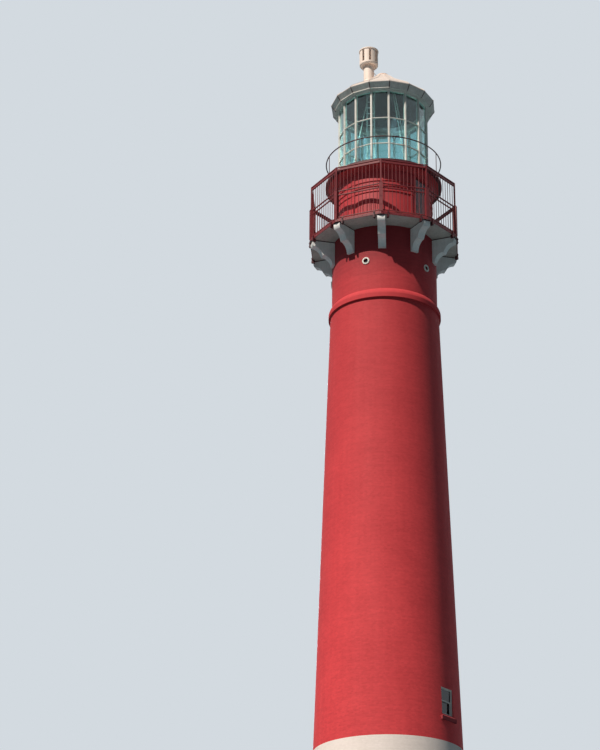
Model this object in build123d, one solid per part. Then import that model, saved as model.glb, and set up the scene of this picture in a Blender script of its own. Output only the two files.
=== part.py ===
"""Tall brick lighthouse, white below and red above, as a model at half the real size.

The tower is a hollow tapering brick wall. At its head a belt course runs round a straight
neck, and ten brackets carry a ten-sided gallery with a high railing. Above stand the round
watch room, a narrow upper deck with a ring rail, and a sixteen-sided glazed lantern with a
faceted roof, a centre cap and an offset vent stack.

Millimetres of the half-size model. +Z is up and the origin is on the ground at the tower's
centre. Azimuth 0 faces -Y, and positive azimuths turn towards +X.
"""

from build123d import *
import math
import os

# Tower wall
wall_height = 19385.0
wall_foot_radius = 1760.0
wall_head_radius = 1136.0
wall_foot_thickness = 640.0
wall_segments = 8
segment_joint = 0.4
fit_gap = 0.3
cut_margin = 1.0
colour_line_level = 10200.0

# Ground level
plinth_height = 360.0
plinth_bevel = 50.0
plinth_projection = 110.0
floor_thickness = 150.0

# Belt course
belt_height = 195.0
belt_projection = 40.0
belt_drip = 20.0
belt_face_height = 72.0
belt_swell = 8.0

# Neck
neck_height = 1665.0
neck_inset = 31.0
neck_thickness = 230.0
neck_segments = 10

# Openings in the tower wall
window_azimuth = 55.4
seen_window_sill = 10600.0
window_rise = 4000.0
front_windows = (-2, -1, 0)
back_windows = (-1, 0, 1, 2)
window_width = 370.0
window_height = 640.0
window_setback = 27.0
window_frame_face = 13.0
window_frame_depth = 60.0
sash_face = 17.0
sash_depth = 22.0
sash_glass = 5.0
sill_height = 135.0
sill_fall = 64.0
sill_projection = 25.0
sill_overhang = 45.0

# Entrance
door_azimuth = window_azimuth - 90.0
door_width = 540.0
door_straight_height = 950.0
door_setback = 170.0
door_frame_face = 40.0
door_frame_depth = 70.0
door_leaf_thickness = 35.0
surround_face = 110.0
surround_projection = 40.0
step_side_room = 60.0
step_bevel = 10.0

# Portholes in the neck
porthole_count = 5
porthole_azimuth = -18.0
porthole_drop = 800.0
porthole_bore = 49.0
porthole_rim_radius = 78.0
porthole_rim_projection = 14.0
porthole_pane_setback = 30.0
porthole_pane = 6.0

# Main gallery
gallery_sides = 10
gallery_turn = 0.0
gallery_reach = 520.0
deck_thickness = 50.0
slab_joint = 4.0
room_floor_overlap = 110.0
edge_band_height = 60.0
edge_band_thickness = 8.0
bracket_width = 160.0
bracket_reach = 480.0
bracket_drop = 520.0
bracket_foot = 50.0
bracket_nose = 120.0
bracket_nose_slope = 20.0
bracket_nose_swell = 2.0
bracket_nose_belly = 0.6
bracket_root = 40.0
bracket_hollow = (0.78, 0.28)
bracket_shoulder = (0.62, 0.42)
bracket_tip = (0.52, 0.60)
bracket_back = (0.44, 0.60)
bracket_sweep = (0.21, 0.73)
beam_height = 25.0
beam_side_gap = 12.0
beam_end_gap = 10.0
clip_size = 34.0
clip_projection = 20.0
clip_hook = 48.0
clip_drop = 70.0
clip_place = 0.7

# Gallery railing
railing_height = 1255.0
railing_inset = 26.0
post_size = 30.0
post_base_size = 74.0
bay_count = 12
baluster_radius = 6.5
rail_height = 16.0
rail_depth = 28.0
bottom_rail_level = 40.0
middle_rail_levels = (570.0, 665.0)
strap_drop = 85.0
strap_height = 45.0
rail_end_gap = 0.4

# Watch room
room_height = 1425.0
room_inset = 70.0
room_thickness = 115.0
room_segments = 8
room_door_azimuth = 56.0
room_door_width = 470.0
room_door_height = 1290.0
room_door_frame = 30.0
room_door_frame_depth = 58.0
room_door_setback = 12.0
room_door_leaf = 30.0
room_batten_width = 60.0
room_batten_projection = 10.0
hatch_width = 420.0
hatch_length = 560.0
hatch_offset = 330.0

# Upper deck
upper_deck_thickness = 50.0
upper_deck_reach = 220.0
upper_floor_overlap = 56.0
cornice_height = 110.0
cornice_projection = 150.0
cornice_edge = 18.0
cornice_foot = 12.0
cornice_hollow = 0.14
ring_rail_inset = 15.0
ring_rail_height = 550.0
ring_rail_tube = 12.5
ring_post_count = 8
ring_post_radius = 8.0
ring_post_turn = 22.5

# Lantern
lantern_sides = 16
lantern_turn = 9.5
lantern_inset = 57.0
lantern_sill_height = 60.0
lantern_sill_depth = 78.0
lantern_ring_projection = 12.0
mullion_face = 34.0
mullion_depth = 62.0
glazing_height = 1805.0
glazing_bar_heights = (495.0, 1130.0)
glazing_bar_height = 14.0
glazing_bar_depth = 40.0
pane_thickness = 8.0
head_height = 50.0

# Roof
soffit_rise = 15.0
eave_lip_reach = 79.0
fascia_height = 119.0
fascia_flare = 88.0
fascia_thickness = 22.0
lip_height = 14.0
lip_projection = 14.0
lip_root = 6.0
soffit_thickness = 14.0
roof_knee_inset = 73.0
roof_knee_rise = 72.0
roof_top_radius = 190.0
roof_slope_rise = 709.0
roof_waist_radius = 400.0
roof_waist_drop = 44.0
roof_thickness = 16.0
cap_neck_radius = 78.0
cap_neck_height = 52.0
cap_lid_edge = 12.0
cap_crown_radius = 20.0
cap_lid_radius = 132.0
cap_lid_height = 34.0
cap_dome = (0.55, 0.82)

# Vent stack
stack_x = -307.0
stack_y = -11.0
stack_radius = 116.0
stack_wall = 8.0
stack_flashing_radius = 165.0
stack_flashing_rise = 60.0
cowl_radius = 205.0
stack_rise = 322.0
stack_lap = 48.0
cowl_ring_height = 68.0
cowl_head_band = 6.0
cowl_turn = 11.0
cup_recess = 28.0
cup_turn = 40.0
cowl_stave_count = 8
cowl_stave_share = 0.66
cowl_stave_thickness = 16.0
cowl_height = 403.0
cowl_cap_height = 26.0
cowl_cap_overhang = 12.0

# Fittings seen through the lantern glass
ladder_x = -265.0
ladder_y = -150.0
ladder_width = 155.0
ladder_rail = 16.0
ladder_rung_radius = 7.0
ladder_rung_spacing = 150.0
strut_count = 4
strut_azimuth = 37.0
strut_foot_radius = 850.0
strut_lean = 0.21
strut_radius = 12.0
strut_trim = 30.0
strut_head_radius = 357.0
strut_head_drop = 35.0

# Worked-out sizes
neck_radius = wall_head_radius - neck_inset
gallery_corner_radius = neck_radius + gallery_reach
room_radius = neck_radius - room_inset
upper_deck_radius = room_radius + upper_deck_reach
ring_rail_radius = upper_deck_radius - ring_rail_inset
lantern_corner_radius = room_radius - lantern_inset
lantern_ring_radius = lantern_corner_radius + lantern_ring_projection
eave_lip_radius = lantern_corner_radius + eave_lip_reach
eave_rim_radius = eave_lip_radius + fascia_flare
roof_knee_radius = eave_rim_radius - roof_knee_inset
bore_head_radius = neck_radius - neck_thickness
bore_foot_radius = wall_foot_radius - wall_foot_thickness
deck_underside = wall_height + neck_height
deck_top = deck_underside + deck_thickness
porthole_level = deck_underside - porthole_drop
upper_deck_underside = deck_top + room_height
upper_deck_top = upper_deck_underside + upper_deck_thickness
glazing_bottom = upper_deck_top + lantern_sill_height
glazing_top = glazing_bottom + glazing_height
glazing_bar_levels = [glazing_bottom + height for height in glazing_bar_heights]
eave_lip_level = glazing_top + soffit_rise
eave_rim_level = eave_lip_level + fascia_height
roof_knee_level = eave_rim_level + roof_knee_rise
roof_top_level = roof_knee_level + roof_slope_rise
roof_waist_share = (roof_knee_radius - roof_waist_radius) / (roof_knee_radius - roof_top_radius)
roof_waist_level = roof_knee_level + roof_slope_rise * roof_waist_share - roof_waist_drop
roof_outline = (
    (eave_rim_radius, eave_rim_level),
    (roof_knee_radius, roof_knee_level),
    (roof_waist_radius, roof_waist_level),
    (roof_top_radius, roof_top_level),
)
cowl_bottom = roof_top_level + stack_rise
cowl_top = cowl_bottom + cowl_height
stack_top = cowl_bottom + stack_lap
quarter_turn_rise = 1 - math.sqrt(0.5)
half_side = math.pi / gallery_sides
gallery_apothem = gallery_corner_radius * math.cos(half_side)
lantern_half_side = math.pi / lantern_sides
beam_underside = deck_underside - beam_height
railing_corner_radius = gallery_corner_radius - railing_inset / math.cos(half_side)
post_base_height = middle_rail_levels[-1] + rail_height
room_inner_radius = room_radius - room_thickness
lantern_floor_radius = room_inner_radius + upper_floor_overlap


def wall_radius(z):
    """Outer radius of the tapering wall at a level."""
    return wall_foot_radius + (wall_head_radius - wall_foot_radius) * z / wall_height


def bore_radius(z):
    """Inner radius of the tapering wall at a level."""
    return bore_foot_radius + (bore_head_radius - bore_foot_radius) * z / wall_height


def turned(shape, azimuth):
    """A shape modelled facing azimuth 0, turned round the tower to an azimuth."""
    return Rot(0, 0, azimuth) * shape


def block(x0, x1, y0, y1, z0, z1):
    """A box between two corners."""
    box = Box(x1 - x0, y1 - y0, z1 - z0)
    return Pos((x0 + x1) / 2, (y0 + y1) / 2, (z0 + z1) / 2) * box


def upright_face(points):
    """A face in the XZ plane, where X is the radius and Z the level."""
    wire = Polyline(*[(r, 0, z) for r, z in points], close=True)
    return make_face(wire)


def ring(points, start=0.0, arc=360.0):
    """A profile of radii and levels spun round the tower from one azimuth over an arc."""
    solid = revolve(upright_face(points), Axis.Z, revolution_arc=arc)
    return Rot(0, 0, start - 90.0) * solid


def ring_segments(points, count, centre, joint):
    """A ring cut into equal segments, one of them centred on an azimuth."""
    step = 360.0 / count
    gap = math.degrees(joint / max(r for r, z in points))
    starts = [centre + step * (k - 0.5) + gap / 2 for k in range(count)]
    return [ring(points, start, step - gap) for start in starts]


def first_solid(shape):
    """The largest solid of a cut or joined shape."""
    return max(shape.solids(), key=lambda solid: solid.volume)


def polygon_bars(count, turn, radius, z0, z1, depth, gap):
    """Straight bars along the sides of a regular polygon, mitred at its corners."""
    half = math.pi / count
    outer = radius * math.cos(half)
    inner = outer - depth
    bars = []
    for k in range(count):
        outline = Polyline(
            (-outer * math.tan(half) + gap / 2, -outer),
            (outer * math.tan(half) - gap / 2, -outer),
            (inner * math.tan(half) - gap / 2, -inner),
            (-inner * math.tan(half) + gap / 2, -inner),
            close=True,
        )
        bar = extrude(Pos(0, 0, z0) * make_face(outline), z1 - z0)
        bars.append(turned(bar, turn + math.degrees(half) * (2 * k + 1)))
    return bars


def facet(count, lower, upper, thickness, gap):
    """One flat side of a faceted cone, from a lower (corner radius, level) to an upper one."""
    half = math.pi / count
    corners = []
    for radius, level in (lower, upper):
        for drop in (0.0, thickness):
            apothem = radius * math.cos(half)
            reach = apothem * math.tan(half) - gap / 2
            corners.append([(-reach, -apothem, level - drop), (reach, -apothem, level - drop)])
    low_top, low_under, high_top, high_under = corners
    outer = [*low_top, *reversed(high_top)]
    inner = [*low_under, *reversed(high_under)]
    sides = [[outer[i], outer[(i + 1) % 4], inner[(i + 1) % 4], inner[i]] for i in range(4)]
    faces = [Face(Wire.make_polygon(points)) for points in (outer, inner, *sides)]
    return Solid(Shell(faces))


def export(shapes, name):
    """Writes one node's solids to its file."""
    solids = []
    for shape in shapes:
        solids.extend(shape.solids())
    export_step(Compound(children=solids), f"parts/{name}.step")


# Tower wall

def window_places():
    """Azimuth and sill level of each window: the back row is half a rise higher."""
    front = [(window_azimuth, seen_window_sill + window_rise * n) for n in front_windows]
    back = [(window_azimuth + 180.0, seen_window_sill + window_rise * (n - 0.5)) for n in back_windows]
    return front + back


def window_cutter(azimuth, level):
    half = window_width / 2
    return turned(block(-half, half, -wall_foot_radius, 0, level, level + window_height), azimuth)


def window_cutters(z0, z1):
    """Cutters of the windows that reach into one tier of the wall."""
    return [
        window_cutter(azimuth, level)
        for azimuth, level in window_places()
        if level + window_height > z0 and level < z1
    ]


def door_outline(width, straight_height, base, y):
    """An upright outline with a round head, facing the front at a depth y."""
    half = width / 2
    top = base + straight_height
    sides = Polyline((half, y, top), (half, y, base), (-half, y, base), (-half, y, top))
    head = ThreePointArc((-half, y, top), (0, y, top + half), (half, y, top))
    return make_face(Wire([*sides.edges(), *head.edges()]))


def door_prism(width, straight_height, base, y_outer, y_inner):
    """A round-headed block from an outer depth to an inner depth."""
    face = door_outline(width, straight_height, base, y_outer)
    return extrude(face, amount=y_inner - y_outer, dir=(0, 1, 0))


def tower_wall(z0, z1, cutters):
    profile = [
        (bore_radius(z0), z0),
        (wall_radius(z0), z0),
        (wall_radius(z1), z1),
        (bore_radius(z1), z1),
    ]
    pieces = ring_segments(profile, wall_segments, window_azimuth, segment_joint)
    for cutter in cutters:
        pieces = [first_solid(piece - cutter) for piece in pieces]
    return pieces


def white_wall():
    cutters = window_cutters(0.0, colour_line_level)
    door = door_prism(door_width, door_straight_height, floor_thickness, -wall_foot_radius, 0)
    cutters.append(turned(door, door_azimuth))
    return tower_wall(0.0, colour_line_level, cutters)


def red_wall():
    cutters = window_cutters(colour_line_level, wall_height)
    return tower_wall(colour_line_level, wall_height, cutters)


def neck_wall():
    profile = [
        (bore_head_radius, wall_height),
        (neck_radius, wall_height),
        (neck_radius, deck_underside),
        (bore_head_radius, deck_underside),
    ]
    pieces = ring_segments(profile, neck_segments, porthole_azimuth, segment_joint)
    for k in range(porthole_count):
        bore = Pos(0, 0, porthole_level) * Rot(90, 0, 0) * Cylinder(
            porthole_bore, neck_radius * 2, align=(Align.CENTER, Align.CENTER, Align.MIN)
        )
        cutter = turned(bore, porthole_azimuth + 360.0 / porthole_count * k)
        pieces = [first_solid(piece - cutter) for piece in pieces]
    return pieces


def belt_course():
    """A moulding that sits on the head of the red wall, round the neck, and sheds rain."""
    outer = wall_head_radius + belt_projection
    drip = wall_height - belt_drip
    brow_foot = wall_height + belt_face_height
    top = wall_height + belt_height
    brow = ThreePointArc(
        (outer, 0, brow_foot),
        ((outer + neck_radius) / 2 + belt_swell, 0, (brow_foot + top) / 2 + belt_swell),
        (neck_radius, 0, top),
    )
    outline = brow + Polyline(
        (neck_radius, 0, top),
        (neck_radius, 0, wall_height),
        (wall_head_radius, 0, wall_height),
        (wall_radius(drip), 0, drip),
        (outer, 0, drip),
        (outer, 0, brow_foot),
    )
    return [revolve(make_face(outline), Axis.Z)]


# Ground level

def plinth_profile(top, bevel):
    outer = wall_foot_radius + plinth_projection
    return [
        (wall_radius(0.0), 0.0),
        (outer, 0.0),
        (outer, top - bevel),
        (outer - bevel, top),
        (wall_radius(top), top),
    ]


def door_gap():
    half = door_width / 2 + surround_face + step_side_room
    reach = wall_foot_radius + plinth_projection * 2
    return turned(block(-half, half, -reach, 0, -cut_margin, plinth_height + cut_margin), door_azimuth)


def plinth():
    return [first_solid(ring(plinth_profile(plinth_height, plinth_bevel)) - door_gap())]


def entrance_step():
    low_ring = ring(plinth_profile(floor_thickness, step_bevel))
    return [first_solid(low_ring & door_gap())]


def ground_floor():
    profile = [
        (0.0, 0.0),
        (bore_radius(0.0), 0.0),
        (bore_radius(floor_thickness), floor_thickness),
        (0.0, floor_thickness),
    ]
    return [ring(profile)]


def entrance_surround():
    """A projecting round-headed band round the doorway, seated on the tapering wall."""
    wide = door_width + 2 * surround_face
    face_y = -(wall_radius(floor_thickness) + surround_projection)
    band = door_prism(wide, door_straight_height, floor_thickness, face_y, 0)
    band -= door_prism(door_width, door_straight_height, floor_thickness, face_y, 0)
    return [turned(first_solid(band - filled_wall()), door_azimuth)]


def entrance_door():
    """The fixed frame and the closed leaf of the entrance."""
    outer_y = -(wall_radius(floor_thickness) - door_setback)
    inner_width = door_width - 2 * door_frame_face
    inner_base = floor_thickness + door_frame_face
    inner_straight = door_straight_height - door_frame_face
    frame = door_prism(
        door_width, door_straight_height, floor_thickness, outer_y, outer_y + door_frame_depth
    )
    frame -= door_prism(inner_width, inner_straight, inner_base, outer_y, outer_y + door_frame_depth)
    leaf_y = outer_y + (door_frame_depth - door_leaf_thickness) / 2
    leaf = door_prism(inner_width, inner_straight, inner_base, leaf_y, leaf_y + door_leaf_thickness)
    return turned(first_solid(frame), door_azimuth), turned(leaf, door_azimuth)


# Windows

def window_depth(level):
    """The outer face of a window's frame, behind the wall's face at its head."""
    return -(wall_radius(level + window_height) - window_setback)


def open_frame(x0, x1, z0, z1, y0, y1, face):
    """A rectangular frame of one face width."""
    outer = block(x0, x1, y0, y1, z0, z1)
    return outer - block(
        x0 + face, x1 - face, y0 - cut_margin, y1 + cut_margin, z0 + face, z1 - face
    )


def filled_wall():
    """The tower wall as one filled body, for trimming what ends at its face."""
    return ring([(0.0, 0.0), (wall_foot_radius, 0.0), (wall_head_radius, wall_height), (0.0, wall_height)])


def window_sill(level, y):
    """A steep sill in front of the frame, with a nose that stands out and runs past the opening."""
    top = level + sill_height
    nose_y = -wall_radius(level) - sill_projection
    nose_top = top - sill_fall
    profile = Polyline(
        (0, y + window_frame_depth, level),
        (0, y + window_frame_depth, top),
        (0, y, top),
        (0, nose_y, nose_top),
        (0, nose_y, level),
        close=True,
    )
    slab = extrude(make_face(profile), amount=window_width / 2, dir=(1, 0, 0), both=True)
    reach = window_width / 2 + sill_overhang
    nose = block(-reach, reach, nose_y, y, level, nose_top) - filled_wall()
    return first_solid(slab + nose)


def windows():
    """Frames, sashes, panes and sills of all windows, by kind."""
    frames, sashes, panes, sills = [], [], [], []
    half = window_width / 2
    for azimuth, level in window_places():
        y = window_depth(level)
        top = level + window_height
        frame = open_frame(
            -half, half, level + sill_height, top, y, y + window_frame_depth, window_frame_face
        )
        frames.append(turned(frame, azimuth))
        x = half - window_frame_face
        bottom = level + sill_height + window_frame_face
        middle = (bottom + top - window_frame_face) / 2
        lower_y = y + window_frame_depth - sash_depth
        upper_y = lower_y - sash_depth
        for z0, z1, sash_y in (
            (bottom, middle + sash_face / 2, lower_y),
            (middle - sash_face / 2, top - window_frame_face, upper_y),
        ):
            sash = open_frame(-x, x, z0, z1, sash_y, sash_y + sash_depth, sash_face)
            sashes.append(turned(sash, azimuth))
            pane_y = sash_y + (sash_depth - sash_glass) / 2
            pane = block(
                -x + sash_face, x - sash_face,
                pane_y, pane_y + sash_glass,
                z0 + sash_face, z1 - sash_face,
            )
            panes.append(turned(pane, azimuth))
        sills.append(turned(window_sill(level, y), azimuth))
    return frames, sashes, panes, sills


def portholes():
    """Rims and panes of the round lights in the neck."""
    rims, panes = [], []
    for k in range(porthole_count):
        azimuth = porthole_azimuth + 360.0 / porthole_count * k
        reach = neck_radius + porthole_rim_projection
        upright = Pos(0, 0, porthole_level) * Rot(90, 0, 0)
        rim = upright * Cylinder(porthole_rim_radius, reach, align=(Align.CENTER, Align.CENTER, Align.MIN))
        rim -= upright * Cylinder(porthole_bore, reach, align=(Align.CENTER, Align.CENTER, Align.MIN))
        rim -= Pos(0, 0, porthole_level) * Cylinder(neck_radius, porthole_rim_radius * 4)
        rims.append(turned(first_solid(rim), azimuth))
        pane = Pos(0, -(neck_radius - porthole_pane_setback), porthole_level) * Rot(90, 0, 0) * Cylinder(
            porthole_bore, porthole_pane
        )
        panes.append(turned(pane, azimuth))
    return rims, panes


# Main gallery

def gallery_corner(k):
    return gallery_turn + 360.0 / gallery_sides * k


def gallery_side(k):
    return gallery_corner(k) + 180.0 / gallery_sides


def neck_body():
    """The neck as one filled cylinder, for cutting what seats on it."""
    return Pos(0, 0, wall_height) * Cylinder(
        neck_radius, upper_deck_underside - wall_height, align=(Align.CENTER, Align.CENTER, Align.MIN)
    )


def bracket():
    """A scrolled bracket: a blunt nose, a short hollow, a pendant tip and a long sweep."""
    top = beam_underside
    low = top - bracket_drop
    start = neck_radius - bracket_root
    nose = neck_radius + bracket_reach
    nose_foot = (nose - bracket_nose_slope, 0, top - bracket_nose)
    swell = (nose + bracket_nose_swell, 0, top - bracket_nose * bracket_nose_belly)
    foot = (neck_radius + bracket_foot, 0, low)

    def at(shares):
        out, down = shares
        return (neck_radius + bracket_reach * out, 0, top - bracket_drop * down)

    edges = [
        *Polyline(foot, (start, 0, low), (start, 0, top), (nose, 0, top)).edges(),
        *ThreePointArc((nose, 0, top), swell, nose_foot).edges(),
        *ThreePointArc(nose_foot, at(bracket_hollow), at(bracket_shoulder)).edges(),
        *Line(at(bracket_shoulder), at(bracket_tip)).edges(),
        *Line(at(bracket_tip), at(bracket_back)).edges(),
        *ThreePointArc(at(bracket_back), at(bracket_sweep), foot).edges(),
    ]
    side = Rot(0, 0, -90) * make_face(Wire(edges))
    body = extrude(side, amount=bracket_width / 2, dir=(1, 0, 0), both=True)
    return first_solid(body - neck_body())


def gallery_brackets():
    piece = bracket()
    return [turned(piece, gallery_corner(k)) for k in range(gallery_sides)]


def deck_beams():
    """Flat bearers that lie along the brackets' tops and carry the deck out to its corners."""
    half = bracket_width / 2 - beam_side_gap
    reach = gallery_corner_radius - beam_end_gap - half * math.tan(half_side)
    beam = block(-half, half, -reach, -neck_radius + bracket_width, beam_underside, deck_underside)
    piece = first_solid(beam - neck_body())
    return [turned(piece, gallery_corner(k)) for k in range(gallery_sides)]


def gallery_deck():
    """Ten slabs that lie on the neck's wall and on the brackets, with open joints."""
    slabs = []
    rest_radius = bore_head_radius + room_floor_overlap + fit_gap
    half = gallery_apothem * math.tan(half_side)
    for k in range(gallery_sides):
        outline = Polyline((0, 0), (half, -gallery_apothem), (-half, -gallery_apothem), close=True)
        slab = extrude(Pos(0, 0, deck_underside) * make_face(outline), deck_thickness)
        slab -= Pos(0, 0, deck_underside) * Cylinder(rest_radius, deck_thickness * 4)
        for side in (-1.0, 1.0):
            joint = block(-slab_joint / 2, slab_joint / 2, -gallery_corner_radius * 1.1, 0,
                          deck_underside - cut_margin, deck_top + cut_margin)
            slab -= turned(joint, side * 180.0 / gallery_sides)
        slabs.append(turned(first_solid(slab), gallery_side(k)))
    return slabs


def deck_edge_band():
    """A flat iron band round the outer edge of the deck, one length a side."""
    radius = gallery_corner_radius + edge_band_thickness / math.cos(half_side)
    z1 = deck_top
    return polygon_bars(
        gallery_sides, gallery_turn, radius, z1 - edge_band_height, z1, edge_band_thickness,
        segment_joint,
    )


def deck_clips():
    """Small clamps that hold the railing to the deck's edge."""
    clips = []
    half = gallery_apothem * math.tan(half_side)
    y = -(gallery_apothem + edge_band_thickness)
    for k in range(gallery_sides):
        for side in (-1.0, 1.0):
            x = side * half * clip_place
            clip = block(x - clip_size / 2, x + clip_size / 2, y - clip_projection, y,
                         deck_top - edge_band_height - clip_drop, deck_top)
            foot = block(x - clip_size / 2, x + clip_size / 2, y, y + clip_hook,
                         deck_top - edge_band_height - clip_drop, deck_top - edge_band_height)
            clips.append(turned(clip + foot, gallery_side(k)))
    return clips


def gallery_posts():
    """Square corner posts, stout up to the middle rails and slender above them."""
    radius = railing_corner_radius
    post = None
    for size, height in ((post_base_size, post_base_height), (post_size, railing_height)):
        half = size / 2
        part = block(-half, half, -radius - half, -radius + half, deck_top, deck_top + height)
        post = part if post is None else post + part
    return [turned(post, gallery_corner(k)) for k in range(gallery_sides)]


def rail_reach(size):
    """Half the length of a rail that ends against the corner posts of one size."""
    post = size / 2 * (math.cos(half_side) + math.sin(half_side))
    return railing_corner_radius * math.sin(half_side) - post - rail_end_gap


def railing_panel():
    """Rails and balusters of one side, joined into one welded panel."""
    y = -railing_corner_radius * math.cos(half_side)
    half = railing_corner_radius * math.sin(half_side)
    rails = [(level, rail_height) for level in (bottom_rail_level, *middle_rail_levels)]
    rails += [(railing_height - strap_drop, strap_height), (railing_height - rail_height, rail_height)]
    panel = None
    for level, height in rails:
        z0 = deck_top + level
        reach = rail_reach(post_base_size if level < post_base_height else post_size)
        rail = block(-reach, reach, y - rail_depth / 2, y + rail_depth / 2, z0, z0 + height)
        panel = rail if panel is None else panel + rail
    bottom = deck_top + bottom_rail_level + rail_height / 2
    top = deck_top + railing_height - rail_height / 2
    pitch = 2 * half / bay_count
    for n in range(1, bay_count):
        bar = Cylinder(baluster_radius, top - bottom)
        panel += Pos(-half + n * pitch, y, (top + bottom) / 2) * bar
    for x in (-half * clip_place, half * clip_place):
        panel += block(x - rail_height / 2, x + rail_height / 2, y - rail_depth / 2,
                       y + rail_depth / 2, deck_top, deck_top + bottom_rail_level)
    return panel


def gallery_railing():
    panel = railing_panel()
    return [turned(panel, gallery_side(k)) for k in range(gallery_sides)]


# Watch room

def hatch(level, thickness):
    return block(hatch_offset - hatch_width / 2, hatch_offset + hatch_width / 2,
                 -hatch_length / 2, hatch_length / 2, level - thickness, level + thickness * 2)


def watch_room_floor():
    plate = Pos(0, 0, deck_underside) * Cylinder(
        bore_head_radius + room_floor_overlap, deck_thickness,
        align=(Align.CENTER, Align.CENTER, Align.MIN),
    )
    return [plate - hatch(deck_underside, deck_thickness)]


def room_door_cutter():
    half = room_door_width / 2
    return turned(
        block(-half, half, -room_radius * 1.1, -room_radius * 0.5, deck_top,
              deck_top + room_door_height),
        room_door_azimuth,
    )


def watch_room_wall():
    profile = [
        (room_inner_radius, deck_top),
        (room_radius, deck_top),
        (room_radius, upper_deck_underside),
        (room_inner_radius, upper_deck_underside),
    ]
    pieces = ring_segments(profile, room_segments, room_door_azimuth, segment_joint)
    cutter = room_door_cutter()
    return [first_solid(piece - cutter) for piece in pieces]


def watch_room_battens():
    """Upright cover strips on the watch room's wall, in line with the gallery's corners."""
    width = math.degrees(room_batten_width / room_radius)
    top = upper_deck_underside - cornice_height
    profile = [
        (room_radius, deck_top),
        (room_radius + room_batten_projection, deck_top),
        (room_radius + room_batten_projection, top),
        (room_radius, top),
    ]
    return [ring(profile, gallery_corner(k) - width / 2, width) for k in range(gallery_sides)]


def watch_room_door():
    """The fixed frame and the closed leaf of the gallery door."""
    half = room_door_width / 2
    y = -(math.sqrt(room_radius**2 - half**2) - room_door_setback)
    top = deck_top + room_door_height
    depth = room_door_frame_depth
    frame = block(-half, half, y, y + depth, deck_top, top)
    frame -= block(-half + room_door_frame, half - room_door_frame, y - cut_margin,
                   y + depth + cut_margin, deck_top - cut_margin, top - room_door_frame)
    leaf = block(-half + room_door_frame, half - room_door_frame,
                 y + depth - room_door_leaf, y + depth, deck_top, top - room_door_frame)
    return turned(frame, room_door_azimuth), turned(leaf, room_door_azimuth)


# Upper deck

def cornice():
    """A hollow moulding round the watch room, under the upper deck."""
    top = upper_deck_underside
    low = top - cornice_height
    edge = (room_radius + cornice_projection, 0, top - cornice_edge)
    foot = (room_radius + cornice_foot, 0, low)
    hollow = (
        (edge[0] + foot[0]) / 2 - cornice_projection * cornice_hollow,
        0,
        (edge[2] + foot[2]) / 2 + cornice_height * cornice_hollow,
    )
    outline = ThreePointArc(edge, hollow, foot) + Polyline(
        foot,
        (room_radius, 0, low),
        (room_radius, 0, top),
        (room_radius + cornice_projection, 0, top),
        edge,
    )
    return [revolve(make_face(outline), Axis.Z)]


def upper_deck():
    """The ring of deck outside the lantern, in sixteen plates."""
    inner = lantern_floor_radius + fit_gap
    profile = [
        (inner, upper_deck_underside),
        (upper_deck_radius, upper_deck_underside),
        (upper_deck_radius, upper_deck_top),
        (inner, upper_deck_top),
    ]
    return ring_segments(profile, lantern_sides, lantern_turn, segment_joint)


def lantern_floor():
    plate = Pos(0, 0, upper_deck_underside) * Cylinder(
        lantern_floor_radius, upper_deck_thickness,
        align=(Align.CENTER, Align.CENTER, Align.MIN),
    )
    return [plate - hatch(upper_deck_underside, upper_deck_thickness)]


def ring_rail():
    """The single round rail outside the lantern and its thin posts, welded together."""
    level = upper_deck_top + ring_rail_height
    rail = Pos(0, 0, level) * Torus(ring_rail_radius, ring_rail_tube)
    for k in range(ring_post_count):
        post = Pos(0, -ring_rail_radius, upper_deck_top) * Cylinder(
            ring_post_radius, ring_rail_height, align=(Align.CENTER, Align.CENTER, Align.MIN)
        )
        rail += turned(post, ring_post_turn + 360.0 / ring_post_count * k)
    return [rail]


# Lantern

def lantern_corner(k):
    return lantern_turn + 360.0 / lantern_sides * k


def lantern_sill():
    return polygon_bars(
        lantern_sides, lantern_turn, lantern_ring_radius, upper_deck_top, glazing_bottom,
        lantern_sill_depth, segment_joint,
    )


def mullions():
    pieces = []
    half = mullion_face / 2
    y = -lantern_corner_radius
    for k in range(lantern_sides):
        bar = block(-half, half, y, y + mullion_depth, glazing_bottom, glazing_top)
        pieces.append(turned(bar, lantern_corner(k)))
    return pieces


def side_reach(y):
    """Half the clear width between two mullions at a depth y in front of the axis."""
    return -y * math.tan(lantern_half_side) - mullion_face / 2 / math.cos(lantern_half_side)


def glazing_bars():
    """Level bars between the mullions."""
    y0 = -lantern_corner_radius * math.cos(lantern_half_side)
    y1 = y0 + glazing_bar_depth
    bars = []
    for level in glazing_bar_levels:
        for k in range(lantern_sides):
            half = side_reach(y1) - fit_gap
            bar = block(-half, half, y0, y1, level - glazing_bar_height / 2,
                        level + glazing_bar_height / 2)
            bars.append(turned(bar, lantern_corner(k) + math.degrees(lantern_half_side)))
    return bars


def lantern_glass():
    """Forty-eight flat panes, three to a side."""
    y0 = -lantern_corner_radius * math.cos(lantern_half_side) + glazing_bar_depth / 2
    y1 = y0 + pane_thickness
    edges = [glazing_bottom]
    for level in glazing_bar_levels:
        edges += [level - glazing_bar_height / 2, level + glazing_bar_height / 2]
    edges.append(glazing_top)
    panes = []
    for k in range(lantern_sides):
        half = side_reach(y1) - fit_gap
        for z0, z1 in zip(edges[0::2], edges[1::2]):
            pane = block(-half, half, y0, y1, z0, z1)
            panes.append(turned(pane, lantern_corner(k) + math.degrees(lantern_half_side)))
    return panes


def lantern_head():
    return polygon_bars(
        lantern_sides, lantern_turn, lantern_ring_radius, glazing_top,
        glazing_top + head_height, lantern_sill_depth, segment_joint,
    )


# Roof

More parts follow.
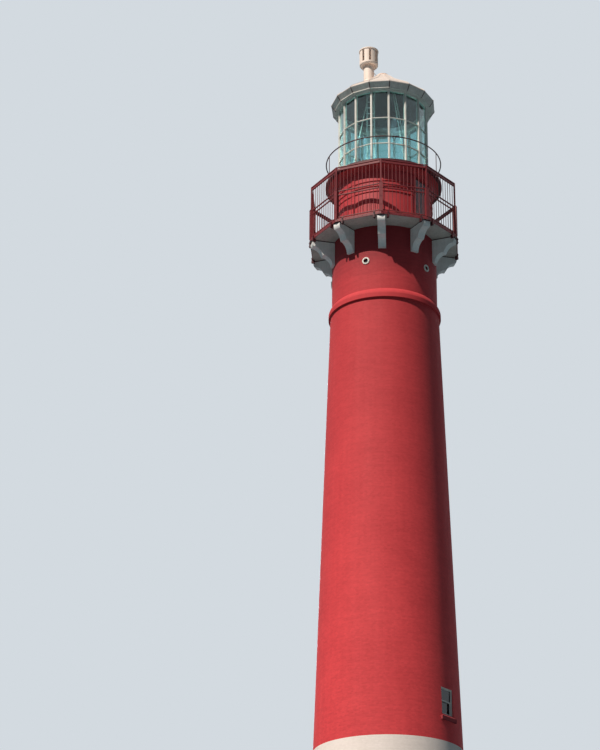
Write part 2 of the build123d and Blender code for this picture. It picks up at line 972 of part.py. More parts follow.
def eave_fascia():
    """The sloping band under the roof's rim, with a small lip along its foot."""
    half = lantern_half_side
    pieces = []
    for k in range(lantern_sides):
        azimuth = lantern_corner(k) + math.degrees(half)
        corners = []
        for radius, level in (
            (eave_lip_radius, eave_lip_level),
            (eave_rim_radius, eave_rim_level),
            (eave_rim_radius - fascia_thickness, eave_rim_level),
            (eave_lip_radius - fascia_thickness, eave_lip_level),
        ):
            apothem = radius * math.cos(half)
            corners.append((apothem, level))
        lip_outer = corners[0][0] + lip_projection
        profile = [
            (lip_outer, eave_lip_level),
            (lip_outer, eave_lip_level + lip_height),
            (corners[0][0] + lip_root, eave_lip_level + lip_height),
            corners[1],
            corners[2],
            corners[3],
        ]
        side = Polyline(*[(0, -a, z) for a, z in profile], close=True)
        band = extrude(make_face(side), amount=eave_rim_radius, dir=(1, 0, 0), both=True)
        for sign in (-1.0, 1.0):
            cutter = Pos(sign * (eave_rim_radius + segment_joint / 2), 0, eave_rim_level) * Box(
                eave_rim_radius * 2, eave_rim_radius * 4, eave_rim_radius
            )
            band -= turned(cutter, sign * math.degrees(half))
        pieces.append(turned(first_solid(band), azimuth))
    return pieces


def roof_soffit():
    """Flat boards under the eaves, from the lantern's head to the fascia."""
    outer = eave_lip_radius - fascia_thickness - fit_gap
    depth = (outer - lantern_ring_radius) * math.cos(lantern_half_side)
    return polygon_bars(
        lantern_sides, lantern_turn, outer, eave_lip_level, eave_lip_level + soffit_thickness,
        depth - fit_gap, segment_joint,
    )


def lantern_roof():
    """Sixteen sides, each of three sheets: a steep rim, a long slope and a hollow below the cap."""
    corners = [(radius, level + roof_thickness) for radius, level in roof_outline]
    sheets = [
        facet(lantern_sides, low, high, roof_thickness, segment_joint)
        for low, high in zip(corners, corners[1:])
    ]
    piece = sheets[0] + sheets[1:]
    return [
        turned(piece, lantern_corner(k) + math.degrees(lantern_half_side))
        for k in range(lantern_sides)
    ]


def roof_cap():
    """A low lid on a short neck over the centre of the roof."""
    plate = roof_top_radius * math.cos(lantern_half_side) - fit_gap
    base = roof_top_level + roof_thickness
    lid = base + cap_neck_height
    dome = ThreePointArc(
        (cap_lid_radius, 0, lid + cap_lid_edge),
        (cap_lid_radius * cap_dome[0], 0, lid + cap_lid_height * cap_dome[1]),
        (cap_crown_radius, 0, lid + cap_lid_height),
    )
    outline = dome + Polyline(
        (cap_crown_radius, 0, lid + cap_lid_height),
        (0, 0, lid + cap_lid_height),
        (0, 0, roof_top_level),
        (plate, 0, roof_top_level),
        (plate, 0, base),
        (cap_neck_radius, 0, base),
        (cap_neck_radius, 0, lid),
        (cap_lid_radius, 0, lid),
        (cap_lid_radius, 0, lid + cap_lid_edge),
    )
    return [revolve(make_face(outline), Axis.Z)]


def roof_level(radius):
    """The upper surface of the roof above the middle of a side, at a radius."""
    half = math.cos(lantern_half_side)
    for low, high in zip(roof_outline, roof_outline[1:]):
        if radius > high[0] * half:
            break
    share = (low[0] * half - radius) / ((low[0] - high[0]) * half)
    return low[1] + (high[1] - low[1]) * share + roof_thickness


def roof_solid():
    """The roof as one filled body, for cutting what stands on it."""
    top = roof_thickness
    sections = [
        Pos(0, 0, level + top) * Rot(0, 0, lantern_turn - 90.0) * RegularPolygon(radius, lantern_sides)
        for radius, level in roof_outline
    ]
    tiers = [loft(Sketch() + [low, high], ruled=True) for low, high in zip(sections, sections[1:])]
    base = Pos(0, 0, eave_rim_level) * Cylinder(
        eave_rim_radius, roof_thickness, align=(Align.CENTER, Align.CENTER, Align.MIN)
    )
    return base + tiers


def vent_stack():
    """The pipe of the stack with a flared flashing, standing on the roof's slope."""
    place = Pos(stack_x, stack_y, 0)
    low = roof_level(abs(stack_x) + stack_flashing_radius) - roof_thickness
    pipe = place * ring([
        (stack_radius - stack_wall, low),
        (stack_radius, low),
        (stack_radius, stack_top),
        (stack_radius - stack_wall, stack_top),
    ])
    collar_top = roof_level(abs(stack_x)) + stack_flashing_rise
    collar = place * ring([
        (stack_radius - stack_wall, low),
        (stack_flashing_radius, low),
        (stack_radius, collar_top),
        (stack_radius - stack_wall, collar_top),
    ])
    return [first_solid((pipe + collar) - roof_solid())]


def vent_cowl():
    """The cowl: a cup round the pipe, upright staves with slots between them, and a flat cap."""
    inner = cowl_radius - cowl_stave_thickness
    cap_under = cowl_top - cowl_cap_height
    cap_radius = cowl_radius + cowl_cap_overhang
    slot_foot = cowl_bottom + cowl_ring_height
    seat = cowl_bottom + cup_recess
    turn = ThreePointArc(
        (cowl_radius - cup_turn, 0, cowl_bottom),
        (cowl_radius - cup_turn * quarter_turn_rise, 0, cowl_bottom + cup_turn * quarter_turn_rise),
        (cowl_radius, 0, cowl_bottom + cup_turn),
    )
    outline = turn + Polyline(
        (cowl_radius, 0, cowl_bottom + cup_turn),
        (cowl_radius, 0, cap_under),
        (cap_radius, 0, cap_under),
        (cap_radius, 0, cowl_top),
        (0, 0, cowl_top),
        (0, 0, cap_under),
        (inner, 0, cap_under),
        (inner, 0, slot_foot - cowl_stave_thickness),
        (stack_radius, 0, seat + cowl_stave_thickness),
        (stack_radius, 0, seat),
        (cowl_radius - cup_turn, 0, cowl_bottom),
    )
    body = revolve(make_face(outline), Axis.Z)
    pitch = 360.0 / cowl_stave_count
    slot = pitch * (1 - cowl_stave_share)
    slot_head = cap_under - cowl_head_band
    slot_profile = [
        (inner - cut_margin, slot_foot),
        (cowl_radius + cut_margin, slot_foot),
        (cowl_radius + cut_margin, slot_head),
        (inner - cut_margin, slot_head),
    ]
    for k in range(cowl_stave_count):
        body -= ring(slot_profile, cowl_turn + pitch * k - slot / 2, slot)
    return [Pos(stack_x, stack_y, 0) * first_solid(body)]


# Fittings in the lantern

def lantern_ladder():
    """A straight ladder from the lantern's floor to the underside of the roof."""
    half = ladder_width / 2
    foot = upper_deck_top
    reach = math.hypot(abs(ladder_x) + half + ladder_rail, ladder_y - ladder_rail)
    head = roof_level(reach) - 2 * roof_thickness
    ladder = None
    for side in (-1.0, 1.0):
        x = ladder_x + side * half
        rail = block(x - ladder_rail / 2, x + ladder_rail / 2, ladder_y - ladder_rail,
                     ladder_y + ladder_rail, foot, head)
        ladder = rail if ladder is None else ladder + rail
    rungs = int((head - foot) / ladder_rung_spacing)
    for n in range(1, rungs):
        rung = Pos(ladder_x, ladder_y, foot + n * ladder_rung_spacing) * Rot(0, 90, 0) * Cylinder(
            ladder_rung_radius, ladder_width
        )
        ladder += rung
    return [ladder]


def lantern_struts():
    """Four raking rods that stiffen the lantern, from its floor to the roof."""
    struts = []
    foot = upper_deck_top
    rise = roof_level(strut_head_radius) - strut_head_drop - foot
    top_radius = strut_foot_radius - strut_lean * rise
    lean = math.degrees(math.atan2(strut_foot_radius - top_radius, rise))
    length = math.hypot(strut_foot_radius - top_radius, rise)
    for k in range(strut_count):
        rod = Cylinder(
            strut_radius, length + strut_trim * 2, align=(Align.CENTER, Align.CENTER, Align.MIN)
        )
        rod = Pos(0, -strut_foot_radius, foot) * Rot(-lean, 0, 0) * Pos(0, 0, -strut_trim) * rod
        below = Pos(0, -strut_foot_radius, foot - strut_trim) * Box(
            strut_trim * 4, strut_trim * 4, strut_trim * 2
        )
        rod -= below
        struts.append(turned(rod, strut_azimuth + 360.0 / strut_count * k) - roof_underside_cut())
    return [first_solid(strut) for strut in struts]


def roof_underside_cut():
    """All that lies above the roof's underside, for trimming what stands below it."""
    above = Pos(0, 0, roof_top_level) * Cylinder(
        eave_rim_radius, (roof_top_level - eave_rim_level) * 2
    )
    return above - Pos(0, 0, -roof_thickness * 2) * roof_solid()


def main():
    os.makedirs("parts", exist_ok=True)
    export(plinth(), "base_plinth")
    export(ground_floor(), "ground_floor")
    export(white_wall(), "white_wall")
    export(red_wall(), "red_wall")
    export(neck_wall(), "neck_wall")
    export(belt_course(), "belt_course")
    export(entrance_step(), "entrance_step")
    export(entrance_surround(), "entrance_surround")
    frame, leaf = entrance_door()
    export([frame], "entrance_door_frame")
    export([leaf], "entrance_door_leaf")
    frames, sashes, panes, sills = windows()
    export(frames, "window_frames")
    export(sashes, "window_sashes")
    export(panes, "window_glass")
    export(sills, "window_sills")
    rims, round_panes = portholes()
    export(rims, "porthole_rims")
    export(round_panes, "porthole_glass")
    export(gallery_brackets(), "gallery_brackets")
    export(deck_beams(), "deck_beams")
    export(gallery_deck(), "gallery_deck")
    export(deck_edge_band(), "deck_edge_band")
    export(deck_clips(), "deck_clips")
    export(gallery_posts(), "gallery_posts")
    export(gallery_railing(), "gallery_railing")
    export(watch_room_floor(), "watch_room_floor")
    export(watch_room_wall(), "watch_room_wall")
    export(watch_room_battens(), "watch_room_battens")
    frame, leaf = watch_room_door()
    export([frame], "watch_room_door_frame")
    export([leaf], "watch_room_door_leaf")
    export(cornice(), "upper_cornice")
    export(upper_deck(), "upper_deck")
    export(lantern_floor(), "lantern_floor")
    export(ring_rail(), "upper_ring_rail")
    export(lantern_sill(), "lantern_sill")
    export(mullions(), "lantern_mullions")
    export(glazing_bars(), "glazing_bars")
    export(lantern_glass(), "lantern_glass")
    export(lantern_head(), "lantern_head")
    export(roof_soffit(), "roof_soffit")
    export(eave_fascia(), "eave_fascia")
    export(lantern_roof(), "lantern_roof")
    export(roof_cap(), "roof_cap")
    export(vent_stack(), "vent_stack")
    export(vent_cowl(), "vent_cowl")
    export(lantern_ladder(), "lantern_ladder")
    export(lantern_struts(), "lantern_struts")


main()
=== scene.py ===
import bmesh
import bpy
import math
from mathutils import Matrix, Vector


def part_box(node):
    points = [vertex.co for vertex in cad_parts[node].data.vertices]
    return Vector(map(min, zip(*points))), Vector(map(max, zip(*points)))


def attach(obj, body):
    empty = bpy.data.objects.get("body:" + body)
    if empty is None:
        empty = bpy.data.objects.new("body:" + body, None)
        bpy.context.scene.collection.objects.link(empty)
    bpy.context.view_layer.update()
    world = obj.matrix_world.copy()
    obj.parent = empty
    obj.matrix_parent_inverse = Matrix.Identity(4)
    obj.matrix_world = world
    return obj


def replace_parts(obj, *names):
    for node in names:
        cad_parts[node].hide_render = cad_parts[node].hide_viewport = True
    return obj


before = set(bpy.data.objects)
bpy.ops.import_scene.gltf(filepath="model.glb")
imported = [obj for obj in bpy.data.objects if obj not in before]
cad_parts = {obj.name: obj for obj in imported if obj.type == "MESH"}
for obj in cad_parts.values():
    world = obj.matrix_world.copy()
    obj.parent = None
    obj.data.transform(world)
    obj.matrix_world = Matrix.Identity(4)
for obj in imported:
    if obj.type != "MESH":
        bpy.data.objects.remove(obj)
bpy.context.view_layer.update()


def toLinear(hexColour):
    # sRGB hex to the linear colour that a shader socket takes
    channels = [int(hexColour[i:i + 2], 16) / 255 for i in (1, 3, 5)]
    linear = [c / 12.92 if c <= 0.04045 else ((c + 0.055) / 1.055) ** 2.4 for c in channels]
    return (*linear, 1.0)


# Camera, light and stage

view = {
    "azimuth": 2.0,          # degrees from the front, towards +X
    "distance": 37.5965,     # metres from the tower's axis
    "eyeLevel": 0.8,
    "pan": 4.682,            # degrees that the camera turns back to the tower and past it
    "tilt": 24.740,
    "roll": 0.668,
    "lens": 96.0,
    "sensor": 36.0,
    "clipEnd": 500.0,
}

print("camera")
cameraData = bpy.data.cameras.new("viewCamera")
cameraData.lens = view["lens"]
cameraData.sensor_width = view["sensor"]
cameraData.clip_end = view["clipEnd"]
camera = bpy.data.objects.new("viewCamera", cameraData)
bpy.context.scene.collection.objects.link(camera)
towards = math.radians(view["azimuth"])
camera.matrix_world = (
    Matrix.Translation((
        view["distance"] * math.sin(towards), -view["distance"] * math.cos(towards), view["eyeLevel"],
    ))
    @ Matrix.Rotation(math.radians(view["pan"]), 4, "Z")
    @ Matrix.Rotation(math.radians(90.0 + view["tilt"]), 4, "X")
    @ Matrix.Rotation(math.radians(view["roll"]), 4, "Z")
)
bpy.context.scene.camera = camera

studio = {
    "fillStrength": 0.06,
    "fillColour": "#AFCBF2",
    "backdropColour": "#D3DAE0",
    "floorColour": "#D9D8D4",
    "floorBounce": "#5E6F76",  # what the floor sends back up, so that the shade under the gallery stays
    "floorRoughness": 0.9,
    "floorShine": 0.2,
    "floorHalf": 150.0,
    "floorDrop": 0.002,
}

lamps = {
    "keyLight": {
        "azimuth": -38.0,    # the light comes from the left, as in the photograph
        "height": 50.0,
        "strength": 4.7,
        "softness": 0.6,     # degrees across, so that shadow edges stay a little soft
        "colour": "#FFF5EA",
        "place": (-20.0, -25.0, 38.0),
    },
    "backLight": {           # broad and soft, so that the far side is not left black
        "azimuth": 188.0,
        "height": 20.0,
        "strength": 1.3,
        "softness": 12.0,
        "colour": "#E6EEFF",
        "place": (7.0, 32.0, 30.0),
    },
}

print("lamps and backdrop")
for lampName, lamp in lamps.items():
    lampData = bpy.data.lights.new(lampName, "SUN")
    lampData.energy = lamp["strength"]
    lampData.angle = math.radians(lamp["softness"])
    lampData.color = toLinear(lamp["colour"])[:3]
    lampObject = bpy.data.objects.new(lampName, lampData)
    bpy.context.scene.collection.objects.link(lampObject)
    lampObject.rotation_euler = (math.radians(90.0 - lamp["height"]), 0.0, math.radians(lamp["azimuth"]))
    lampObject.location = lamp["place"]


def addNode(tree, kind, settings=None, links=None):
    made = tree.nodes.new(kind)
    for key, value in (settings or {}).items():
        if isinstance(key, int) or key in made.inputs:
            made.inputs[key].default_value = value
        else:
            setattr(made, key, value)
    for key, socket in (links or {}).items():
        tree.links.new(socket, made.inputs[key])
    return made


studioWorld = bpy.data.worlds.new("studioWorld")
bpy.context.scene.world = studioWorld
studioWorld.use_nodes = True
air = studioWorld.node_tree
air.nodes.clear()
fill = addNode(air, "ShaderNodeBackground", {
    "Color": toLinear(studio["fillColour"]), "Strength": studio["fillStrength"],
})
backdrop = addNode(air, "ShaderNodeBackground", {
    "Color": toLinear(studio["backdropColour"]), "Strength": 1.0,
})
rays = addNode(air, "ShaderNodeLightPath")
glossSeen = addNode(air, "ShaderNodeMath", {"operation": "MAXIMUM"}, {
    0: rays.outputs["Is Camera Ray"], 1: rays.outputs["Is Glossy Ray"],
})
allSeen = addNode(air, "ShaderNodeMath", {"operation": "MAXIMUM"}, {
    0: glossSeen.outputs[0], 1: rays.outputs["Is Transmission Ray"],
})
airMix = addNode(air, "ShaderNodeMixShader", {}, {
    0: allSeen.outputs[0], 1: fill.outputs[0], 2: backdrop.outputs[0],
})
addNode(air, "ShaderNodeOutputWorld", {}, {"Surface": airMix.outputs[0]})

bpy.context.scene.view_settings.view_transform = "Standard"


# Materials

def startMaterial(name):
    material = bpy.data.materials.new(name)
    material.use_nodes = True
    tree = material.node_tree
    tree.nodes.clear()
    return material, tree


def finishMaterial(tree, shader):
    addNode(tree, "ShaderNodeOutputMaterial", {}, {"Surface": shader.outputs[0]})


brick = {
    "course": 0.034,         # 68 mm of real brick and joint, at half size
    "header": 0.056,         # 112 mm: a round wall this tight shows the bricks' short ends
    "joint": 0.0045,
    "jointBlur": 0.5,
    "jointDepth": 0.0024,    # near 5 mm on the real wall
    "footRadius": 1.760,
    "headRadius": 1.136,
    "wallHeight": 19.385,
    "colourLine": 10.2,      # white below, red above
    "darkest": 0.35,         # the greys between which single bricks differ
    "lightest": 0.65,
    "waver": 9.0,            # how many times to the metre the courses wander, and how far
    "waverReach": 0.004,
    "fading": 0.9,           # broad patches of about a metre
    "fadingShare": 0.9,
    "fadingBase": -0.30,
    "rain": (9.0, 9.0, 0.35),    # streaks some 110 mm wide, long down the wall
    "runs": (2.2, 2.2, 16.0),    # stretches of paler courses
    "runsShare": 0.55,
    "brickShare": 0.8,
    "wornFrom": 0.55,
    "wornTo": 1.35,
    "raggedness": 0.5,
    "grain": 160.0,
    "grainShare": 0.25,
    "roughnessSpread": 0.08,
    "shine": 0.35,
}


def paintedBrick(name, sunny, worn, streaks, roughness, paintedShade=()):
    # thick masonry paint over brick laid in header bond: joints are filled soft and shallow
    material, tree = startMaterial(name)
    place = addNode(tree, "ShaderNodeTexCoord").outputs["Object"]
    parts = addNode(tree, "ShaderNodeSeparateXYZ", {}, {0: place})
    turn = addNode(tree, "ShaderNodeMath", {"operation": "ARCTAN2"}, {
        0: parts.outputs[0], 1: parts.outputs[1],
    })
    rowNumber = addNode(tree, "ShaderNodeMath", {"operation": "DIVIDE", 1: brick["course"]}, {
        0: parts.outputs[2],
    })
    row = addNode(tree, "ShaderNodeMath", {"operation": "FLOOR"}, {0: rowNumber.outputs[0]})
    # the wall tapers, so each course holds its own whole number of bricks
    halfCount = addNode(tree, "ShaderNodeMapRange", {
        "clamp": True, "From Min": 0.0, "From Max": brick["wallHeight"] / brick["course"],
        "To Min": brick["footRadius"] * math.pi / brick["header"],
        "To Max": brick["headRadius"] * math.pi / brick["header"],
    }, {"Value": row.outputs[0]})
    pairs = addNode(tree, "ShaderNodeMath", {"operation": "ROUND"}, {0: halfCount.outputs[0]})
    along = addNode(tree, "ShaderNodeMath", {"operation": "MULTIPLY"}, {
        0: turn.outputs[0], 1: pairs.outputs[0],
    })
    alongWall = addNode(tree, "ShaderNodeMath", {
        "operation": "MULTIPLY", 1: brick["header"] / math.pi,
    }, {0: along.outputs[0]})
    laid = addNode(tree, "ShaderNodeCombineXYZ", {}, {0: alongWall.outputs[0], 1: parts.outputs[2]})
    waver = addNode(tree, "ShaderNodeTexNoise", {"Scale": brick["waver"], "Detail": 2.0}, {"Vector": place})
    uneven = addNode(tree, "ShaderNodeVectorMath", {
        "operation": "MULTIPLY_ADD", 1: (brick["waverReach"], brick["waverReach"], 0.0),
    }, {0: waver.outputs["Color"], 2: laid.outputs[0]})
    bond = addNode(tree, "ShaderNodeTexBrick", {
        "offset": 0.5, "offset_frequency": 2, "squash": 1.0,
        "Color1": (*[brick["darkest"]] * 3, 1.0), "Color2": (*[brick["lightest"]] * 3, 1.0),
        "Mortar": (0.5, 0.5, 0.5, 1.0), "Scale": 1.0, "Mortar Size": brick["joint"] / 2,
        "Mortar Smooth": brick["jointBlur"], "Bias": 0.0,
        "Brick Width": brick["header"], "Row Height": brick["course"],
    }, {"Vector": uneven.outputs[0]})
    # weather: broad fading, rain streaks down the wall and runs of paler courses
    broad = addNode(tree, "ShaderNodeTexNoise", {
        "Scale": brick["fading"], "Detail": 5.0, "Roughness": 0.6,
    }, {"Vector": place})
    down = addNode(tree, "ShaderNodeMapping", {"Scale": brick["rain"]}, {"Vector": place})
    rain = addNode(tree, "ShaderNodeTexNoise", {"Scale": 1.0, "Detail": 4.0, "Roughness": 0.65}, {
        "Vector": down.outputs[0],
    })
    courses = addNode(tree, "ShaderNodeMapping", {"Scale": brick["runs"]}, {"Vector": place})
    runs = addNode(tree, "ShaderNodeTexNoise", {"Scale": 1.0, "Detail": 3.0, "Roughness": 0.7}, {
        "Vector": courses.outputs[0],
    })
    grain = addNode(tree, "ShaderNodeTexNoise", {
        "Scale": brick["grain"], "Detail": 3.0, "Roughness": 0.6,
    }, {"Vector": place})
    weathered = addNode(tree, "ShaderNodeMath", {
        "operation": "MULTIPLY_ADD", 1: brick["fadingShare"], 2: brick["fadingBase"],
    }, {0: broad.outputs[0]})
    wet = addNode(tree, "ShaderNodeMath", {"operation": "MULTIPLY_ADD", 1: streaks}, {
        0: rain.outputs[0], 2: weathered.outputs[0],
    })
    banded = addNode(tree, "ShaderNodeMath", {"operation": "MULTIPLY_ADD", 1: brick["runsShare"]}, {
        0: runs.outputs[0], 2: wet.outputs[0],
    })
    tinted = addNode(tree, "ShaderNodeMath", {"operation": "MULTIPLY_ADD", 1: brick["brickShare"]}, {
        0: bond.outputs["Color"], 2: banded.outputs[0],
    })
    share = addNode(tree, "ShaderNodeMapRange", {
        "clamp": True, "From Min": brick["wornFrom"], "From Max": brick["wornTo"],
        "To Min": 0.0, "To Max": 1.0,
    }, {"Value": tinted.outputs[0]})
    colour = addNode(tree, "ShaderNodeMix", {
        "data_type": "RGBA", 6: toLinear(sunny), 7: toLinear(worn),
    }, {0: share.outputs[0]})
    tone = colour.outputs[2]
    for low, high, most, darker in paintedShade:
        # painted shade: a darker tone that comes in between two levels, with a ragged edge
        ragged = addNode(tree, "ShaderNodeMath", {"operation": "MULTIPLY_ADD", 1: brick["raggedness"]}, {
            0: runs.outputs[0], 2: parts.outputs[2],
        })
        rise = addNode(tree, "ShaderNodeMapRange", {
            "clamp": True, "From Min": low, "From Max": high, "To Min": 0.0, "To Max": most,
        }, {"Value": ragged.outputs[0]})
        tone = addNode(tree, "ShaderNodeMix", {"data_type": "RGBA", 7: toLinear(darker)}, {
            0: rise.outputs[0], 6: tone,
        }).outputs[2]
    joints = addNode(tree, "ShaderNodeMath", {"operation": "SUBTRACT", 0: 1.0}, {1: bond.outputs["Fac"]})
    relief = addNode(tree, "ShaderNodeMath", {"operation": "MULTIPLY_ADD", 1: brick["grainShare"]}, {
        0: grain.outputs[0], 2: joints.outputs[0],
    })
    bump = addNode(tree, "ShaderNodeBump", {"Strength": 1.0, "Distance": brick["jointDepth"]}, {
        "Height": relief.outputs[0],
    })
    dull = addNode(tree, "ShaderNodeMapRange", {
        "clamp": True, "To Min": roughness - brick["roughnessSpread"],
        "To Max": roughness + brick["roughnessSpread"],
    }, {"Value": rain.outputs[0]})
    shader = addNode(tree, "ShaderNodeBsdfPrincipled", {"Specular IOR Level": brick["shine"]}, {
        "Base Color": tone, "Roughness": dull.outputs[0], "Normal": bump.outputs[0],
    })
    finishMaterial(tree, shader)
    return material


brushing = {
    "streakStretch": 0.06,   # a streak's scale down the piece against its scale across
    "streakShare": 0.55,
    "wornFrom": 0.60,
    "wornTo": 1.05,
    "grainStrength": 0.6,
    "dullFrom": 0.3,
    "dullTo": 0.7,
    "smoother": 0.07,        # how far the roughness falls and rises with the wear
    "rougher": 0.12,
    "shine": 0.4,
}


def brushedPaint(
        name, colour, worn, roughness, patch, streak, relief, grainSize, wornShare=0.5, above=None):
    # paint brushed or sprayed on metal, wood or stone; patch, streak, relief and grainSize are in metres
    material, tree = startMaterial(name)
    place = addNode(tree, "ShaderNodeTexCoord").outputs["Object"]
    broad = addNode(tree, "ShaderNodeTexNoise", {"Scale": 1.0 / patch, "Detail": 5.0, "Roughness": 0.62}, {
        "Vector": place,
    })
    down = addNode(tree, "ShaderNodeMapping", {
        "Scale": (1.0 / streak, 1.0 / streak, brushing["streakStretch"] / streak),
    }, {"Vector": place})
    rain = addNode(tree, "ShaderNodeTexNoise", {"Scale": 1.0, "Detail": 3.0, "Roughness": 0.6}, {
        "Vector": down.outputs[0],
    })
    grain = addNode(tree, "ShaderNodeTexNoise", {"Scale": 1.0 / grainSize, "Detail": 4.0, "Roughness": 0.6}, {
        "Vector": place,
    })
    both = addNode(tree, "ShaderNodeMath", {"operation": "MULTIPLY_ADD", 1: brushing["streakShare"]}, {
        0: rain.outputs[0], 2: broad.outputs[0],
    })
    share = addNode(tree, "ShaderNodeMapRange", {
        "clamp": True, "From Min": brushing["wornFrom"], "From Max": brushing["wornTo"],
        "To Min": 0.0, "To Max": wornShare,
    }, {"Value": both.outputs[0]})
    mixed = addNode(tree, "ShaderNodeMix", {
        "data_type": "RGBA", 6: toLinear(colour), 7: toLinear(worn),
    }, {0: share.outputs[0]})
    tone = mixed.outputs[2]
    if above is not None:
        # the same paint run in a second colour above a level
        level, upperColour = above
        parts = addNode(tree, "ShaderNodeSeparateXYZ", {}, {0: place})
        isAbove = addNode(tree, "ShaderNodeMath", {"operation": "GREATER_THAN", 1: level}, {
            0: parts.outputs[2],
        })
        tone = addNode(tree, "ShaderNodeMix", {"data_type": "RGBA", 7: toLinear(upperColour)}, {
            0: isAbove.outputs[0], 6: tone,
        }).outputs[2]
    bump = addNode(tree, "ShaderNodeBump", {"Strength": brushing["grainStrength"], "Distance": relief}, {
        "Height": grain.outputs[0],
    })
    dull = addNode(tree, "ShaderNodeMapRange", {
        "clamp": True, "From Min": brushing["dullFrom"], "From Max": brushing["dullTo"],
        "To Min": roughness - brushing["smoother"], "To Max": roughness + brushing["rougher"],
    }, {"Value": both.outputs[0]})
    shader = addNode(tree, "ShaderNodeBsdfPrincipled", {"Specular IOR Level": brushing["shine"]}, {
        "Base Color": tone, "Roughness": dull.outputs[0], "Normal": bump.outputs[0],
    })
    finishMaterial(tree, shader)
    return material


sheetGlass = {
    "waves": 3.5,            # to the metre
    "waveStrength": 0.25,
    "haze": 5.0,
    "hazeFrom": 0.4,
    "hazeTo": 0.75,
    "clearest": 0.02,
    "dullest": 0.10,
    "ior": 1.52,
}


def plateGlass(name, tint, passed, ripple, shine):
    # drawn sheet glass: a faint ripple, a tint, and salt haze that dulls it in patches
    material, tree = startMaterial(name)
    place = addNode(tree, "ShaderNodeTexCoord").outputs["Object"]
    waves = addNode(tree, "ShaderNodeTexNoise", {"Scale": sheetGlass["waves"], "Detail": 1.5}, {
        "Vector": place,
    })
    haze = addNode(tree, "ShaderNodeTexNoise", {
        "Scale": sheetGlass["haze"], "Detail": 6.0, "Roughness": 0.65,
    }, {"Vector": place})
    dull = addNode(tree, "ShaderNodeMapRange", {
        "clamp": True, "From Min": sheetGlass["hazeFrom"], "From Max": sheetGlass["hazeTo"],
        "To Min": sheetGlass["clearest"], "To Max": sheetGlass["dullest"],
    }, {"Value": haze.outputs[0]})
    bump = addNode(tree, "ShaderNodeBump", {"Strength": sheetGlass["waveStrength"], "Distance": ripple}, {
        "Height": waves.outputs[0],
    })
    glass = addNode(tree, "ShaderNodeBsdfPrincipled", {
        "Base Color": toLinear(tint), "IOR": sheetGlass["ior"],
        "Specular IOR Level": shine, "Transmission Weight": 1.0,
    }, {"Roughness": dull.outputs[0], "Normal": bump.outputs[0]})
    # a lamp's light goes straight through, a little coloured
    clear = addNode(tree, "ShaderNodeBsdfTransparent", {"Color": toLinear(passed)})
    paths = addNode(tree, "ShaderNodeLightPath")
    mixed = addNode(tree, "ShaderNodeMixShader", {}, {
        0: paths.outputs["Is Shadow Ray"], 1: glass.outputs[0], 2: clear.outputs[0],
    })
    finishMaterial(tree, mixed)
    return material


print("materials")
redBrick = paintedBrick(
    "red_masonry_paint_on_brick", "#EB4C50", "#C6373D", streaks=0.30, roughness=0.72, paintedShade=(
        (10.0, 21.5, 0.55, "#9C2B31"),   # painted shade: the red darkens towards the head
        (20.1, 20.9, 0.60, "#5E1A22"),   # painted shade under the gallery, darkest just below the deck
    ))
whiteBrick = paintedBrick(
    "white_masonry_paint_on_brick", "#FCF0EA", "#EADED6", streaks=0.35, roughness=0.72)
redRender = brushedPaint(
    "red_masonry_paint_on_cement_render", "#C83B40", "#A42D34",
    roughness=0.70, patch=0.5, streak=0.06, relief=0.0012, grainSize=0.008)
whiteStone = brushedPaint(
    "white_masonry_paint_on_stone", "#F7EEE8", "#D2C8C0",
    roughness=0.70, patch=0.4, streak=0.05, relief=0.0012, grainSize=0.010, wornShare=0.8)
sillStone = brushedPaint(
    "white_or_red_masonry_paint_with_painted_shade_on_stone_sill", "#F7EEE8", "#D2C8C0",
    roughness=0.70, patch=0.4, streak=0.05, relief=0.0012, grainSize=0.010, wornShare=0.8,
    # painted shade: the red above the colour line is darker than the wall's red, for the shade inside the
    # window recess
    above=(brick["colourLine"], "#8A2C32"))
concrete = brushedPaint(
    "steel_trowelled_concrete", "#B4AEA4", "#8D877D",
    roughness=0.80, patch=0.5, streak=0.20, relief=0.0010, grainSize=0.012, wornShare=1.0)
whiteWood = brushedPaint(
    "white_gloss_paint_on_pine", "#F1EFEA", "#D2CDC2",
    roughness=0.38, patch=0.25, streak=0.02, relief=0.0004, grainSize=0.006, wornShare=0.6)
redIron = brushedPaint(
    "dark_red_oil_paint_on_wrought_iron", "#6C1820", "#94403F",
    roughness=0.40, patch=0.12, streak=0.02, relief=0.0005, grainSize=0.006, wornShare=0.35)
redPlate = brushedPaint(
    "red_oil_paint_on_cast_iron_plate", "#BC363C", "#8C252C",
    roughness=0.48, patch=0.4, streak=0.03, relief=0.0008, grainSize=0.010, wornShare=0.7)
darkIron = brushedPaint(
    "maroon_oil_paint_on_wrought_iron", "#4A1219", "#2E0A10",
    roughness=0.42, patch=0.3, streak=0.03, relief=0.0005, grainSize=0.006)
whiteCasting = brushedPaint(
    "white_paint_on_cast_iron", "#F4F4F2", "#D6D5D0",
    roughness=0.55, patch=0.25, streak=0.03, relief=0.0010, grainSize=0.008, wornShare=0.8)
deckPaint = brushedPaint(
    "stone_coloured_deck_paint_on_iron_plate", "#D6D0C8", "#A8A098",
    roughness=0.62, patch=0.5, streak=0.05, relief=0.0010, grainSize=0.010, wornShare=0.9)
whiteSteel = brushedPaint(
    "white_enamel_on_steel_section", "#ECEAE4", "#C7C3B8",
    roughness=0.40, patch=0.25, streak=0.03, relief=0.0005, grainSize=0.006, wornShare=0.7)
roofPaint = brushedPaint(
    "white_bitumen_paint_on_copper_sheet", "#D6CAC2", "#BCB1A8",
    roughness=0.50, patch=0.4, streak=0.04, relief=0.0008, grainSize=0.012, wornShare=0.7)
stackPaint = brushedPaint(
    "warm_white_oil_paint_on_sheet_iron", "#FCEADD", "#E2D0C3",
    roughness=0.46, patch=0.3, streak=0.03, relief=0.0006, grainSize=0.008, wornShare=0.5)
